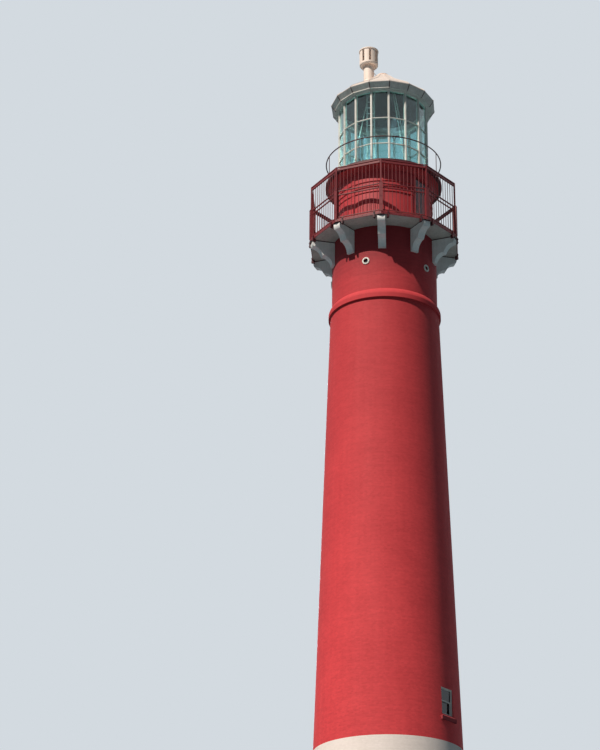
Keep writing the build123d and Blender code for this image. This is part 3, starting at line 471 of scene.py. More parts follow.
fasciaPaint = brushedPaint(
    "grey_white_paint_on_copper_fascia", "#E9E6DF", "#BDB9B0",
    roughness=0.52, patch=0.2, streak=0.03, relief=0.0008, grainSize=0.010, wornShare=0.9)
greyPlate = brushedPaint(
    "grey_primer_on_steel_plate", "#A08D92", "#7A696E",
    roughness=0.50, patch=0.3, streak=0.03, relief=0.0006, grainSize=0.006, wornShare=0.8)
zincBolt = brushedPaint(
    "painted_over_galvanised_bolt", "#8D8A88", "#6A6563",
    roughness=0.45, patch=0.05, streak=0.01, relief=0.0003, grainSize=0.004, wornShare=0.8)
# painted shade: a near-black sheet standing for the shade inside the lantern roof
roofShadeLining = brushedPaint(
    "dark_sheet_for_painted_shade_under_roof", "#2A2522", "#191512",
    roughness=0.60, patch=0.3, streak=0.02, relief=0.0006, grainSize=0.006, wornShare=0.8)
windowPane = plateGlass("float_glass_over_dark_room", "#17364E", "#7F979F", ripple=0.002, shine=0.08)
lanternPane = plateGlass("blue_green_plate_glass", "#B0D8DA", "#E0F2F2", ripple=0.003, shine=0.5)

finishes = {
    "base_plinth": whiteStone,
    "ground_floor": concrete,
    "white_wall": whiteBrick,
    "red_wall": redBrick,
    "neck_wall": redBrick,
    "belt_course": redRender,
    "entrance_step": whiteStone,
    "entrance_surround": whiteStone,
    "entrance_door_frame": whiteWood,
    "entrance_door_leaf": redPlate,
    "window_frames": whiteWood,
    "window_sashes": whiteWood,
    "window_glass": windowPane,
    "window_sills": sillStone,
    "porthole_rims": whiteSteel,
    "porthole_glass": windowPane,
    "gallery_brackets": whiteCasting,
    "deck_beams": darkIron,
    "gallery_deck": deckPaint,
    "deck_edge_band": redIron,
    "deck_clips": darkIron,
    "gallery_posts": redIron,
    "gallery_railing": redIron,
    "watch_room_floor": deckPaint,
    "watch_room_wall": redPlate,
    "watch_room_battens": redPlate,
    "watch_room_door_frame": redIron,
    "watch_room_door_leaf": greyPlate,
    "upper_cornice": redPlate,
    "upper_deck": darkIron,
    "lantern_floor": deckPaint,
    "upper_ring_rail": darkIron,
    "lantern_sill": whiteSteel,
    "lantern_mullions": whiteSteel,
    "glazing_bars": whiteSteel,
    "lantern_glass": lanternPane,
    "lantern_head": whiteSteel,
    "roof_soffit": fasciaPaint,
    "eave_fascia": fasciaPaint,
    "lantern_roof": roofPaint,
    "roof_cap": stackPaint,
    "vent_stack": stackPaint,
    "vent_cowl": stackPaint,
    "lantern_ladder": whiteSteel,
    "lantern_struts": whiteSteel,
}
for nodeName, finish in finishes.items():
    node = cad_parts[nodeName]
    node.data.materials.clear()
    node.data.materials.append(finish)


# New pieces: shared ways of making them

tower = {
    "deckTop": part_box("gallery_deck")[1].z,
    "roomHead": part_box("upper_cornice")[1].z,
    "roomRadius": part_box("watch_room_wall")[1].x,
    "glassFoot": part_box("lantern_glass")[0].z,
    "glassHead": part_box("lantern_glass")[1].z,
    "eaveFoot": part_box("eave_fascia")[0].z,
    "eaveHead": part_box("eave_fascia")[1].z,
    "roofHead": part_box("lantern_roof")[1].z,
    "gallerySides": 10,
    "lanternSides": 16,
    "lanternTurn": 9.5,      # azimuth of the first lantern corner
}

fixing = {
    "topShare": 0.32,        # radius of a head's flat top against the distance across its foot
    "hexSides": 6,
    "roundSides": 8,
    "ironEdge": 0.0015,      # taken off the edges of straps and bars
    "plateEdge": 0.002,      # and off boards and plates
    "smoothAngle": 35.0,     # degrees; a sharper turn shows as an edge
}


def facing(azimuth, radius, level):
    # a place on a round wall: outwards is -Y, right is +X, up is +Z
    return Matrix.Rotation(math.radians(azimuth), 4, "Z") @ Matrix.Translation((0.0, -radius, level))


def addBlock(shape, place, size, middle, bevel=0.0):
    # a block at a middle point in a place's own directions, its edges taken off
    made = bmesh.ops.create_cube(
        shape, size=1.0, matrix=place @ Matrix.Translation(middle) @ Matrix.Diagonal((*size, 1.0)))
    if bevel > 0.0:
        edges = list({edge for vert in made["verts"] for edge in vert.link_edges})
        bmesh.ops.bevel(
            shape, geom=edges, offset=bevel, affect="EDGES", segments=1, profile=0.5, material=-1)


def addRod(shape, start, end, radius, sides=10, endRadius=None):
    run = Vector(end) - Vector(start)
    turn = run.to_track_quat("Z", "Y").to_matrix().to_4x4()
    bmesh.ops.create_cone(
        shape, cap_ends=True, segments=sides, radius1=radius,
        radius2=radius if endRadius is None else endRadius, depth=run.length,
        matrix=Matrix.Translation((Vector(start) + Vector(end)) / 2) @ turn)


def addHead(shape, place, across, height, sides=fixing["roundSides"]):
    # a rivet or bolt head that stands out of a place, wider at its foot
    out = place @ Matrix.Rotation(math.radians(90.0), 4, "X") @ Matrix.Translation((0.0, 0.0, height / 2))
    bmesh.ops.create_cone(
        shape, cap_ends=True, segments=sides, radius1=across / 2, radius2=across * fixing["topShare"],
        depth=height, matrix=out)


def addBall(shape, middle, radius, around, rings):
    bmesh.ops.create_uvsphere(
        shape, u_segments=around, v_segments=rings, radius=radius, matrix=Matrix.Translation(middle))


def makePiece(name, shape, finish):
    bmesh.ops.recalc_face_normals(shape, faces=shape.faces)
    mesh = bpy.data.meshes.new(name)
    shape.to_mesh(mesh)
    shape.free()
    mesh.shade_smooth()
    mesh.set_sharp_from_angle(angle=math.radians(fixing["smoothAngle"]))
    mesh.materials.append(finish)
    piece = bpy.data.objects.new(name, mesh)
    bpy.context.scene.collection.objects.link(piece)
    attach(piece, "root")
    return piece


# Watch room

room = {
    "battenOut": 0.010,
    "rivetAcross": 0.015,
    "rivetHeight": 0.006,
    "rivetPitch": 0.064,
    "rivetFromMiddle": 0.019,
    "rivetClear": 0.04,      # left free above the deck and below the cornice
    "corniceHeight": 0.110,
    "hoopDrops": (0.36, 0.49, 0.61),   # below the room's head
    "hoopHeight": 0.024,
    "hoopOut": 0.018,
    "hoopSides": 8,
    "hoopSteps": 120,
    "doorFrom": 42.0,        # azimuths where the hoops stop beside the door
    "doorTo": 70.0,
}

print("watch room rivets and hoops")
rivets = bmesh.new()
sideAngle = 360.0 / tower["gallerySides"]
rivetFoot = tower["deckTop"] + room["rivetClear"]
rivetRun = tower["roomHead"] - room["corniceHeight"] - room["rivetClear"] - rivetFoot
rivetGaps = int(rivetRun / room["rivetPitch"])
for side in range(tower["gallerySides"]):
    for row in range(rivetGaps + 1):
        level = rivetFoot + rivetRun * row / rivetGaps
        place = facing(sideAngle * side, tower["roomRadius"] + room["battenOut"], level)
        for x in (-room["rivetFromMiddle"], room["rivetFromMiddle"]):
            addHead(rivets, place @ Matrix.Translation((x, 0.0, 0.0)), room["rivetAcross"],
                    room["rivetHeight"], fixing["hexSides"])
makePiece("watchRoomRivets", rivets, redPlate)

hoops = bmesh.new()
for drop in room["hoopDrops"]:
    # a flattened round section, spun from one side of the door round to the other
    section = bmesh.ops.create_circle(
        hoops, cap_ends=False, segments=room["hoopSides"], radius=0.5,
        matrix=facing(room["doorTo"], tower["roomRadius"], tower["roomHead"] - drop)
        @ Matrix.Rotation(math.radians(90.0), 4, "Y")
        @ Matrix.Diagonal((room["hoopHeight"], room["hoopOut"] * 2, 1.0, 1.0)))
    loop = list({edge for vert in section["verts"] for edge in vert.link_edges})
    bmesh.ops.spin(
        hoops, geom=section["verts"] + loop, cent=(0.0, 0.0, 0.0), axis=(0.0, 0.0, 1.0),
        angle=math.radians(360.0 - room["doorTo"] + room["doorFrom"]), steps=room["hoopSteps"])
openEdges = [edge for edge in hoops.edges if edge.is_boundary]
bmesh.ops.holes_fill(hoops, edges=openEdges, sides=room["hoopSides"])
makePiece("watchRoomHoops", hoops, redPlate)

roomDoor = {
    "azimuth": 56.0,
    "width": 0.410,
    "height": 1.260,
    "faceRadius": 0.9688,    # distance of the leaf's face from the tower's axis
    "railFace": 0.055,
    "railOut": 0.008,
    "footGap": 0.02,
    "middleRail": 0.52,
    "hingeLevels": (0.22, 1.02),
    "hingeLength": 0.16,
    "hingeHeight": 0.034,
    "hingeOut": 0.006,
    "pinOut": 0.014,
    "pinHalf": 0.03,
    "pinRadius": 0.009,
    "screwPlaces": (0.03, 0.08, 0.13),   # in from the hinged edge
    "screwAcross": 0.012,
    "screwHeight": 0.004,
    "handleLevel": 0.60,
    "handleInset": 0.03,
    "roseAcross": 0.036,
    "roseHeight": 0.010,
    "roseSides": 16,
    "spindleFrom": 0.014,
    "spindleTo": 0.036,
    "spindleRadius": 0.007,
    "leverOut": 0.034,
    "leverEnd": 0.10,        # in from the free edge
    "leverFall": 0.004,
    "leverRadius": 0.0065,
}

print("watch room door")
doorRails = bmesh.new()
place = facing(roomDoor["azimuth"], roomDoor["faceRadius"], tower["deckTop"])
half = roomDoor["width"] / 2
face = roomDoor["railFace"]
out = roomDoor["railOut"]
for x in (-half + face / 2, half - face / 2):
    addBlock(doorRails, place, (face, out, roomDoor["height"]), (x, -out / 2, roomDoor["height"] / 2),
             fixing["plateEdge"])
for level in (face / 2 + roomDoor["footGap"], roomDoor["middleRail"], roomDoor["height"] - face / 2):
    addBlock(doorRails, place, (roomDoor["width"] - 2 * face, out, face), (0.0, -out / 2, level),
             fixing["plateEdge"])
makePiece("watchRoomDoorRails", doorRails, greyPlate)

doorIron = bmesh.new()
thick = roomDoor["hingeOut"]
for level in roomDoor["hingeLevels"]:
    addBlock(doorIron, place, (roomDoor["hingeLength"], thick, roomDoor["hingeHeight"]),
             (half - roomDoor["hingeLength"] / 2, -out - thick / 2, level), fixing["ironEdge"])
    addRod(doorIron, place @ Vector((half, -roomDoor["pinOut"], level - roomDoor["pinHalf"])),
           place @ Vector((half, -roomDoor["pinOut"], level + roomDoor["pinHalf"])), roomDoor["pinRadius"])
    for along in roomDoor["screwPlaces"]:
        addHead(doorIron, place @ Matrix.Translation((half - along, -out - thick, level)),
                roomDoor["screwAcross"], roomDoor["screwHeight"])
handleX = -half + roomDoor["handleInset"]
handleLevel = roomDoor["handleLevel"]
addHead(doorIron, place @ Matrix.Translation((handleX, -out, handleLevel)),
        roomDoor["roseAcross"], roomDoor["roseHeight"], roomDoor["roseSides"])
addRod(doorIron, place @ Vector((handleX, -roomDoor["spindleFrom"], handleLevel)),
       place @ Vector((handleX, -roomDoor["spindleTo"], handleLevel)), roomDoor["spindleRadius"])
leverEnd = Vector((-half + roomDoor["leverEnd"], -roomDoor["leverOut"], handleLevel - roomDoor["leverFall"]))
addRod(doorIron, place @ Vector((handleX, -roomDoor["leverOut"], handleLevel)), place @ leverEnd,
       roomDoor["leverRadius"])
makePiece("watchRoomDoorIronwork", doorIron, zincBolt)


# Gallery

railing = {
    "deckCorner": 1.625,     # from the tower's axis to a corner of the deck
    "setIn": 0.026,
    "bays": 12,
    "middleRails": (0.570, 0.665),
    "railHeight": 0.016,
    "knuckleRadius": 0.012,
    "knuckleReach": 0.006,   # past the rail, up and down
    "flangeSize": 0.118,
    "flangeThickness": 0.010,
    "flangeExtra": 0.010,
    "flangeInset": 0.018,    # the flange stands inside the deck's corner, so it reaches in more than out
    "postBase": 0.074,
    "capOver": 0.006,
    "capHeight": 0.010,
    "capEdge": 0.003,
    "boltAcross": 0.017,
    "boltHeight": 0.010,
    "boltShare": 0.36,       # of the flange's size, to each side of the post
    "postBoltLevels": (0.16, 0.36, 0.56),
    "postBoltHeight": 0.008,
}

print("gallery fittings")
knuckles = bmesh.new()
halfSide = math.radians(sideAngle / 2)
railCorner = railing["deckCorner"] - railing["setIn"] / math.cos(halfSide)
sideDepth = railCorner * math.cos(halfSide)
sideHalf = railCorner * math.sin(halfSide)
for side in range(tower["gallerySides"]):
    place = facing(sideAngle * (side + 0.5), sideDepth, tower["deckTop"])
    for bay in range(1, railing["bays"]):
        x = -sideHalf + 2 * sideHalf / railing["bays"] * bay
        for level in railing["middleRails"]:
            low = place @ Vector((x, 0.0, level - railing["knuckleReach"]))
            high = place @ Vector((x, 0.0, level + railing["railHeight"] + railing["knuckleReach"]))
            addRod(knuckles, low, high, railing["knuckleRadius"], fixing["roundSides"])
makePiece("balusterKnuckles", knuckles, redIron)

flanges = bmesh.new()
postBolts = bmesh.new()
size = railing["flangeSize"]
thick = railing["flangeThickness"]
base = railing["postBase"]
flangeY = base / 2 + railing["flangeInset"]
capLevel = railing["middleRails"][1] + railing["railHeight"] + railing["capHeight"] / 2
for side in range(tower["gallerySides"]):
    place = facing(sideAngle * side, railCorner, tower["deckTop"])
    addBlock(flanges, place, (size, base / 2 + railing["flangeExtra"], thick), (0.0, flangeY, thick / 2),
             fixing["plateEdge"])
    addBlock(flanges, place, (base + railing["capOver"], base + railing["capOver"], railing["capHeight"]),
             (0.0, 0.0, capLevel), railing["capEdge"])
    for x in (-size * railing["boltShare"], size * railing["boltShare"]):
        upwards = Matrix.Translation((x, flangeY, thick)) @ Matrix.Rotation(math.radians(-90.0), 4, "X")
        addHead(postBolts, place @ upwards, railing["boltAcross"], railing["boltHeight"], fixing["hexSides"])
    for level in railing["postBoltLevels"]:
        addHead(postBolts, place @ Matrix.Translation((0.0, -base / 2, level)), railing["boltAcross"],
                railing["postBoltHeight"], fixing["hexSides"])
makePiece("postFlanges", flanges, redIron)
makePiece("postBolts", postBolts, redIron)

band = {
    "out": 0.008,
    "drop": 0.030,
    "pitch": 0.085,
    "endGap": 0.04,
    "boltAcross": 0.018,
    "boltHeight": 0.006,
    "clipPlace": 0.7,        # of half the railing's side
    "clipOut": 0.020,
    "clipDrops": (0.022, 0.100),
    "clipBoltAcross": 0.020,
    "clipBoltHeight": 0.010,
}

bandBolts = bmesh.new()
bandCorner = railing["deckCorner"] + band["out"] / math.cos(halfSide)
bandDepth = bandCorner * math.cos(halfSide)
bandHalf = bandCorner * math.sin(halfSide) - band["endGap"]
bandGaps = int(2 * bandHalf / band["pitch"])
for side in range(tower["gallerySides"]):
    place = facing(sideAngle * (side + 0.5), bandDepth, tower["deckTop"])
    for number in range(bandGaps + 1):
        x = -bandHalf + 2 * bandHalf * number / bandGaps
        addHead(bandBolts, place @ Matrix.Translation((x, 0.0, -band["drop"])),
                band["boltAcross"], band["boltHeight"])
    for x in (-sideHalf * band["clipPlace"], sideHalf * band["clipPlace"]):
        for drop in band["clipDrops"]:
            addHead(bandBolts, place @ Matrix.Translation((x, -band["clipOut"], -drop)),
                    band["clipBoltAcross"], band["clipBoltHeight"], fixing["hexSides"])
makePiece("edgeBandBolts", bandBolts, redIron)

porthole = {
    "firstAzimuth": -18.0,
    "count": 5,
    "level": (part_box("porthole_rims")[0].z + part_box("porthole_rims")[1].z) / 2,
    "neckRadius": 1.105,
    "rimOut": 0.014,
    "boltCircle": 0.0635,
    "bolts": 8,
    "boltAcross": 0.014,
    "boltHeight": 0.006,
    "beadCircle": 0.052,
    "beadRadius": 0.0045,
    "beadSides": 8,
    "beadSteps": 32,
}

print("portholes")
portholeBolts = bmesh.new()
portholeBeads = bmesh.new()
for number in range(porthole["count"]):
    azimuth = porthole["firstAzimuth"] + 360.0 / porthole["count"] * number
    place = facing(azimuth, porthole["neckRadius"] + porthole["rimOut"], porthole["level"])
    for bolt in range(porthole["bolts"]):
        around = 2 * math.pi * (bolt + 0.5) / porthole["bolts"]
        x = porthole["boltCircle"] * math.cos(around)
        z = porthole["boltCircle"] * math.sin(around)
        addHead(portholeBolts, place @ Matrix.Translation((x, 0.0, z)), porthole["boltAcross"],
                porthole["boltHeight"], fixing["hexSides"])
    section = bmesh.ops.create_circle(
        portholeBeads, cap_ends=False, segments=porthole["beadSides"], radius=porthole["beadRadius"],
        matrix=place @ Matrix.Translation((porthole["beadCircle"], 0.0, 0.0)))
    loop = list({edge for vert in section["verts"] for edge in vert.link_edges})
    bmesh.ops.spin(
        portholeBeads, geom=section["verts"] + loop, cent=place.translation,
        axis=place.to_3x3() @ Vector((0.0, 1.0, 0.0)), angle=2 * math.pi, steps=porthole["beadSteps"],
        use_merge=True)
makePiece("portholeBolts", portholeBolts, whiteSteel)
makePiece("portholeBeads", portholeBeads, whiteSteel)


# Lantern and roof

glazing = {
    "cornerRadius": 0.978,
    "mullionFace": 0.034,
    "barLevels": (0.495, 1.130),   # above the foot of the glass
    "barHeight": 0.014,
    "paneBack": 0.020,       # the pane's face behind the bars' face
    "bead": 0.005,
    "beadGap": 0.002,
    "coverWidth": 0.022,
    "coverOut": 0.005,
    "coverShort": 0.004,
    "screwPitch": 0.20,
    "screwEndGap": 0.06,
    "screwAcross": 0.011,
    "screwHeight": 0.004,
}

print("glazing beads and mullion covers")
beads = bmesh.new()
covers = bmesh.new()
lanternAngle = 360.0 / tower["lanternSides"]
halfPane = math.radians(lanternAngle / 2)
glassDepth = glazing["cornerRadius"] * math.cos(halfPane) - glazing["paneBack"]
paneHalf = glassDepth * math.tan(halfPane) - glazing["mullionFace"] / 2 / math.cos(halfPane)
glassRun = tower["glassHead"] - tower["glassFoot"]
paneEdges = [0.0]
for level in glazing["barLevels"]:
    paneEdges += [level - glazing["barHeight"] / 2, level + glazing["barHeight"] / 2]
paneEdges.append(glassRun)
bead = glazing["bead"]
beadX = paneHalf - bead / 2 - glazing["beadGap"]
screwGaps = int(glassRun / glazing["screwPitch"])
for side in range(tower["lanternSides"]):
    place = facing(tower["lanternTurn"] + lanternAngle * (side + 0.5), glassDepth, tower["glassFoot"])
    for low, high in zip(paneEdges[0::2], paneEdges[1::2]):
        for x in (-beadX, beadX):
            addBlock(beads, place, (bead, bead, high - low), (x, -bead / 2, (low + high) / 2))
        for z in (low + bead / 2, high - bead / 2):
            addBlock(beads, place, (2 * (paneHalf - bead - glazing["beadGap"]), bead, bead),
                     (0.0, -bead / 2, z))
    corner = facing(tower["lanternTurn"] + lanternAngle * side, glazing["cornerRadius"], tower["glassFoot"])
    addBlock(covers, corner, (glazing["coverWidth"], glazing["coverOut"], glassRun - glazing["coverShort"]),
             (0.0, -glazing["coverOut"] / 2, glassRun / 2), fixing["ironEdge"])
    for number in range(screwGaps + 1):
        level = glazing["screwEndGap"] + (glassRun - 2 * glazing["screwEndGap"]) * number / screwGaps
        addHead(covers, corner @ Matrix.Translation((0.0, -glazing["coverOut"], level)),
                glazing["screwAcross"], glazing["screwHeight"], fixing["hexSides"])
makePiece("glazingBeads", beads, whiteSteel)
makePiece("mullionCovers", covers, whiteSteel)

ladder = {
    "x": -0.265,
    "y": -0.150,
    "width": 0.155,
    "barWidth": 0.026,
    "barDepth": 0.012,
    "rungRadius": 0.008,
    "rungPitch": 0.150,
    "rungReach": 0.004,      # a rung's ends stand out of the bars, where they are hammered over
}

print("ladder under the roof")
ladderLow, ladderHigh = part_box("lantern_ladder")
bars = bmesh.new()
ladderRise = ladderHigh.z - ladderLow.z
for x in (ladder["x"] - ladder["width"] / 2, ladder["x"] + ladder["width"] / 2):
    addBlock(bars, Matrix.Translation((x, ladder["y"], ladderLow.z)),
             (ladder["barWidth"], ladder["barDepth"], ladderRise), (0.0, 0.0, ladderRise / 2),
             fixing["ironEdge"])
rungHalf = ladder["width"] / 2 + ladder["barWidth"] / 2 + ladder["rungReach"]
for number in range(1, int(ladderRise / ladder["rungPitch"])):
    level = ladderLow.z + number * ladder["rungPitch"]
    addRod(bars, (ladder["x"] - rungHalf, ladder["y"], level), (ladder["x"] + rungHalf, ladder["y"], level),
           ladder["rungRadius"], fixing["roundSides"])
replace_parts(makePiece("ladderFlatBars", bars, whiteCasting), "lantern_ladder")

roof = {
    "lipRadius": 1.057,
    "rimRadius": 1.145,
    "kneeRadius": 1.072,
    "kneeRise": 0.072,
    "waistRadius": 0.400,    # where the long slope ends and the hollow below the cap begins
    "waistDrop": 0.044,
    "topRadius": 0.190,
    "thickness": 0.016,
    "rollRadius": 0.010,
    "rollTaper": 0.8,
    "jointSwell": 1.05,
    "strapWidth": 0.016,
    "strapOut": 0.006,
    "strapShare": 0.96,      # of the fascia's slope
    "hookDepth": 0.034,
    "hookHeight": 0.006,
    "hookInset": 0.004,
    "liningInset": 0.085,
    "liningGap": 0.030,
    "liningThickness": 0.006,
    "liningWeld": 0.0001,
}

print("roof rolls, straps and lining")
rolls = bmesh.new()
straps = bmesh.new()
roofTop = tower["roofHead"]
kneeLevel = tower["eaveHead"] + roof["kneeRise"] + roof["thickness"]
waistShare = (roof["kneeRadius"] - roof["waistRadius"]) / (roof["kneeRadius"] - roof["topRadius"])
waistLevel = kneeLevel + (roofTop - kneeLevel) * waistShare - roof["waistDrop"]
eaveRise = tower["eaveHead"] - tower["eaveFoot"]
eaveFlare = roof["rimRadius"] - roof["lipRadius"]
eaveLean = math.atan2(eaveFlare, eaveRise)
eaveMiddle = Matrix.Translation((
    0.0, -(roof["rimRadius"] + roof["lipRadius"]) / 2, (tower["eaveHead"] + tower["eaveFoot"]) / 2,
))
for side in range(tower["lanternSides"]):
    place = facing(tower["lanternTurn"] + lanternAngle * side, 0.0, 0.0)
    rim = place @ Vector((0.0, -roof["rimRadius"], tower["eaveHead"] + roof["thickness"]))
    knee = place @ Vector((0.0, -roof["kneeRadius"], kneeLevel))
    waist = place @ Vector((0.0, -roof["waistRadius"], waistLevel))
    top = place @ Vector((0.0, -roof["topRadius"], roofTop))
    addRod(rolls, rim, knee, roof["rollRadius"], fixing["roundSides"])
    addRod(rolls, knee, waist, roof["rollRadius"], fixing["roundSides"])
    addRod(rolls, waist, top, roof["rollRadius"], fixing["roundSides"],
           roof["rollRadius"] * roof["rollTaper"])
    for joint in (knee, waist):
        addBall(rolls, joint, roof["rollRadius"] * roof["jointSwell"], around=8, rings=6)
    # a strap covers each joint of the fascia and hooks under its lip
    addBlock(straps, place @ eaveMiddle @ Matrix.Rotation(eaveLean, 4, "X"),
             (roof["strapWidth"], roof["strapOut"], math.hypot(eaveRise, eaveFlare) * roof["strapShare"]),
             (0.0, -roof["strapOut"] / 2, 0.0), fixing["ironEdge"])
    hookLevel = tower["eaveFoot"] - roof["hookHeight"] / 2
    addBlock(straps, place, (roof["strapWidth"], roof["hookDepth"], roof["hookHeight"]),
             (0.0, -roof["lipRadius"] + roof["hookInset"], hookLevel), fixing["ironEdge"])
makePiece("roofRolls", rolls, roofPaint)
makePiece("fasciaStraps", straps, darkIron)

# a dark sheet of painted shade inside the roof: the lining follows the roof from just inside its knee, over
# the waist, to the cap
lining = bmesh.new()
liningRim = roof["kneeRadius"] - roof["liningInset"]
liningShare = roof["liningInset"] / (roof["kneeRadius"] - roof["waistRadius"])
liningFall = roof["thickness"] + roof["liningGap"]
liningLine = (
    (liningRim, kneeLevel + (waistLevel - kneeLevel) * liningShare - liningFall),
    (roof["waistRadius"], waistLevel - liningFall),
    (roof["topRadius"], roofTop - liningFall),
)
for (lowRadius, lowLevel), (highRadius, highLevel) in zip(liningLine, liningLine[1:]):
    bmesh.ops.create_cone(
        lining, cap_ends=False, segments=tower["lanternSides"], radius1=lowRadius, radius2=highRadius,
        depth=highLevel - lowLevel, matrix=facing(tower["lanternTurn"], 0.0, (lowLevel + highLevel) / 2))
bmesh.ops.remove_doubles(lining, verts=lining.verts, dist=roof["liningWeld"])
bmesh.ops.recalc_face_normals(lining, faces=lining.faces)
bmesh.ops.solidify(lining, geom=lining.faces, thickness=roof["liningThickness"])
makePiece("lanternCeiling", lining, roofShadeLining)

stack = {
    "x": -0.307,
    "y": -0.011,
    "radius": 0.116,
    "cowlRadius": 0.205,
    "bandDrop": 0.055,       # below the cowl's foot
    "bandHeight": 0.030,
    "bandOut": 0.004,
    "bandSides": 48,
    "lowerDrop": 0.30,       # the lower band is this far below the upper one
    "lowerShare": 0.6,       # and this much of its size
    "flatWithin": 1e-6,
    "rivets": 24,
    "rivetAcross": 0.011,
    "rivetHeight": 0.004,
    "cowlRivetOut": 0.012,
    "cowlRivetDrop": 0.013,
}

print("vent stack and cowl")
stackShape = bmesh.new()
cowlLow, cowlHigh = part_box("vent_cowl")
axis = Matrix.Translation((stack["x"], stack["y"], 0.0))
bandLevel = cowlLow.z - stack["bandDrop"]
for level, share in ((bandLevel, 1.0), (bandLevel - stack["lowerDrop"], stack["lowerShare"])):
    radius = stack["radius"] + stack["bandOut"] * share
    made = bmesh.ops.create_cone(
        stackShape, cap_ends=True, segments=stack["bandSides"], radius1=radius, radius2=radius,
        depth=stack["bandHeight"] * share, matrix=axis @ Matrix.Translation((0.0, 0.0, level)))
    rings = [edge for edge in {e for vert in made["verts"] for e in vert.link_edges}
             if abs(edge.verts[0].co.z - edge.verts[1].co.z) < stack["flatWithin"]]
    bmesh.ops.bevel(
        stackShape, geom=rings, offset=fixing["ironEdge"], affect="EDGES", segments=1, profile=0.5,
        material=-1)
rivetRings = (
    (stack["radius"] + stack["bandOut"], bandLevel),
    (stack["cowlRadius"] + stack["cowlRivetOut"], cowlHigh.z - stack["cowlRivetDrop"]),
)
for number in range(stack["rivets"]):
    for radius, level in rivetRings:
        addHead(stackShape, axis @ facing(360.0 / stack["rivets"] * number, radius, level),
                stack["rivetAcross"], stack["rivetHeight"], fixing["hexSides"])
makePiece("stackBands", stackShape, stackPaint)

stayRod = {
    "radius": 0.006,
    "rise": 0.050,           # of its upper end over the cap
    "lidRadius": 0.132,
    "lidInset": 0.012,
    "lidDrop": 0.022,
    "sunk": (-0.004, 0.0, 0.002),    # how far the rod goes on into the stack
    "upperBall": 0.014,
    "lowerBall": 0.012,
}

stay = bmesh.new()
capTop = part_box("roof_cap")[1].z
stackSide = Vector((stack["x"] + stack["radius"], stack["y"], capTop + stayRod["rise"]))
lidSide = Vector((-stayRod["lidRadius"] + stayRod["lidInset"], 0.0, capTop - stayRod["lidDrop"]))
addRod(stay, stackSide + Vector(stayRod["sunk"]), lidSide, stayRod["radius"])
addBall(stay, stackSide, stayRod["upperBall"], around=12, rings=8)
addBall(stay, lidSide, stayRod["lowerBall"], around=12, rings=8)
makePiece("stackStay", stay, stackPaint)


# Entrance

entrance = {
    "azimuth": -34.6,
    "setback": 0.1875,       # the leaf's face behind the wall's face
    "width": 0.46,
    "straight": 0.90,        # up to where the round head begins
    "headGap": 0.004,
    "boards": 6,
    "boardOut": 0.008,
    "boardGap": 0.006,
    "boardShort": 0.006,
    "hingeLevels": (0.20, 0.78),
    "hingeLength": 0.36,
    "hingeHeight": 0.036,
    "hingeOut": 0.006,
    "boltPlaces": (0.04, 0.14, 0.24, 0.33),   # in from the hinged edge
    "boltAcross": 0.016,
    "boltHeight": 0.006,
    "knobLevel": 0.50,
    "knobInset": 0.045,
    "knobOut": 0.030,
    "knobRadius": 0.019,
    "stemRadius": 0.008,
    "roseRadius": 0.024,
    "roseShare": 0.15,       # of the knob's stem
}

print("entrance door")
leafLow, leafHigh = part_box("entrance_door_leaf")
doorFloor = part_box("ground_floor")[1].z
wallTaper = (brick["footRadius"] - brick["headRadius"]) * doorFloor / brick["wallHeight"]
entranceDepth = brick["footRadius"] - wallTaper - entrance["setback"]
boards = bmesh.new()
boardPlace = facing(entrance["azimuth"], entranceDepth, leafLow.z)
half = entrance["width"] / 2
boardWidth = entrance["width"] / entrance["boards"]
for number in range(entrance["boards"]):
    x = -half + boardWidth * (number + 0.5)
    # each board stops under the round head
    reach = abs(x) + boardWidth / 2
    head = entrance["straight"] + math.sqrt(max(0.0, half ** 2 - reach ** 2))
    head = min(head, leafHigh.z - leafLow.z - entrance["headGap"])
    addBlock(boards, boardPlace,
             (boardWidth - entrance["boardGap"], entrance["boardOut"], head - entrance["boardShort"]),
             (x, -entrance["boardOut"] / 2, head / 2), fixing["plateEdge"])
makePiece("entranceBoards", boards, redPlate)

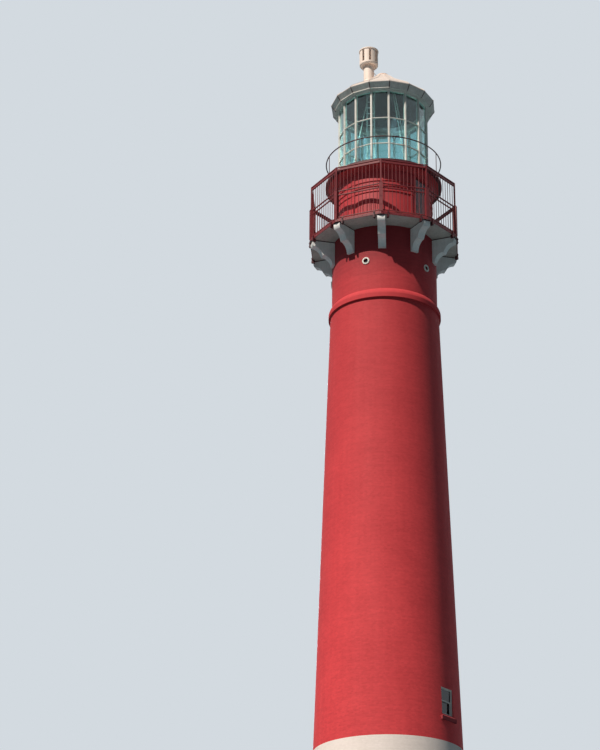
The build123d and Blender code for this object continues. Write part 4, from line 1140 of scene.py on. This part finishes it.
doorIrons = bmesh.new()
out = entrance["boardOut"]
thick = entrance["hingeOut"]
for level in entrance["hingeLevels"]:
    addBlock(doorIrons, boardPlace, (entrance["hingeLength"], thick, entrance["hingeHeight"]),
             (-half + entrance["hingeLength"] / 2, -out - thick / 2, level), fixing["ironEdge"])
    for along in entrance["boltPlaces"]:
        addHead(doorIrons, boardPlace @ Matrix.Translation((-half + along, -out - thick, level)),
                entrance["boltAcross"], entrance["boltHeight"])
knobX = half - entrance["knobInset"]
knob = boardPlace @ Vector((knobX, -out - entrance["knobOut"], entrance["knobLevel"]))
knobFoot = boardPlace @ Vector((knobX, -out, entrance["knobLevel"]))
addRod(doorIrons, knobFoot, knob, entrance["stemRadius"], sides=12)
addRod(doorIrons, knobFoot, knobFoot.lerp(knob, entrance["roseShare"]), entrance["roseRadius"], sides=20)
addBall(doorIrons, knob, entrance["knobRadius"], around=16, rings=10)
makePiece("entranceIronwork", doorIrons, darkIron)


# Floor

print("floor")
floorShape = bmesh.new()
bmesh.ops.create_grid(floorShape, x_segments=1, y_segments=1, size=studio["floorHalf"])
bmesh.ops.translate(floorShape, verts=floorShape.verts, vec=(0.0, 0.0, -studio["floorDrop"]))
floorMesh = bpy.data.meshes.new("studioFloor")
floorShape.to_mesh(floorMesh)
floorShape.free()
studioFloor = bpy.data.objects.new("studioFloor", floorMesh)
bpy.context.scene.collection.objects.link(studioFloor)
floorMaterial, floorTree = startMaterial("matt_studio_paper")
floorRays = addNode(floorTree, "ShaderNodeLightPath")
floorSeen = addNode(floorTree, "ShaderNodeMath", {"operation": "MAXIMUM"}, {
    0: floorRays.outputs["Is Camera Ray"], 1: floorRays.outputs["Is Transmission Ray"],
})
floorTone = addNode(floorTree, "ShaderNodeMix", {
    "data_type": "RGBA", 6: toLinear(studio["floorBounce"]), 7: toLinear(studio["floorColour"]),
}, {0: floorSeen.outputs[0]})
floorShader = addNode(floorTree, "ShaderNodeBsdfPrincipled", {
    "Roughness": studio["floorRoughness"], "Specular IOR Level": studio["floorShine"],
}, {"Base Color": floorTone.outputs[2]})
finishMaterial(floorTree, floorShader)
floorMesh.materials.append(floorMaterial)
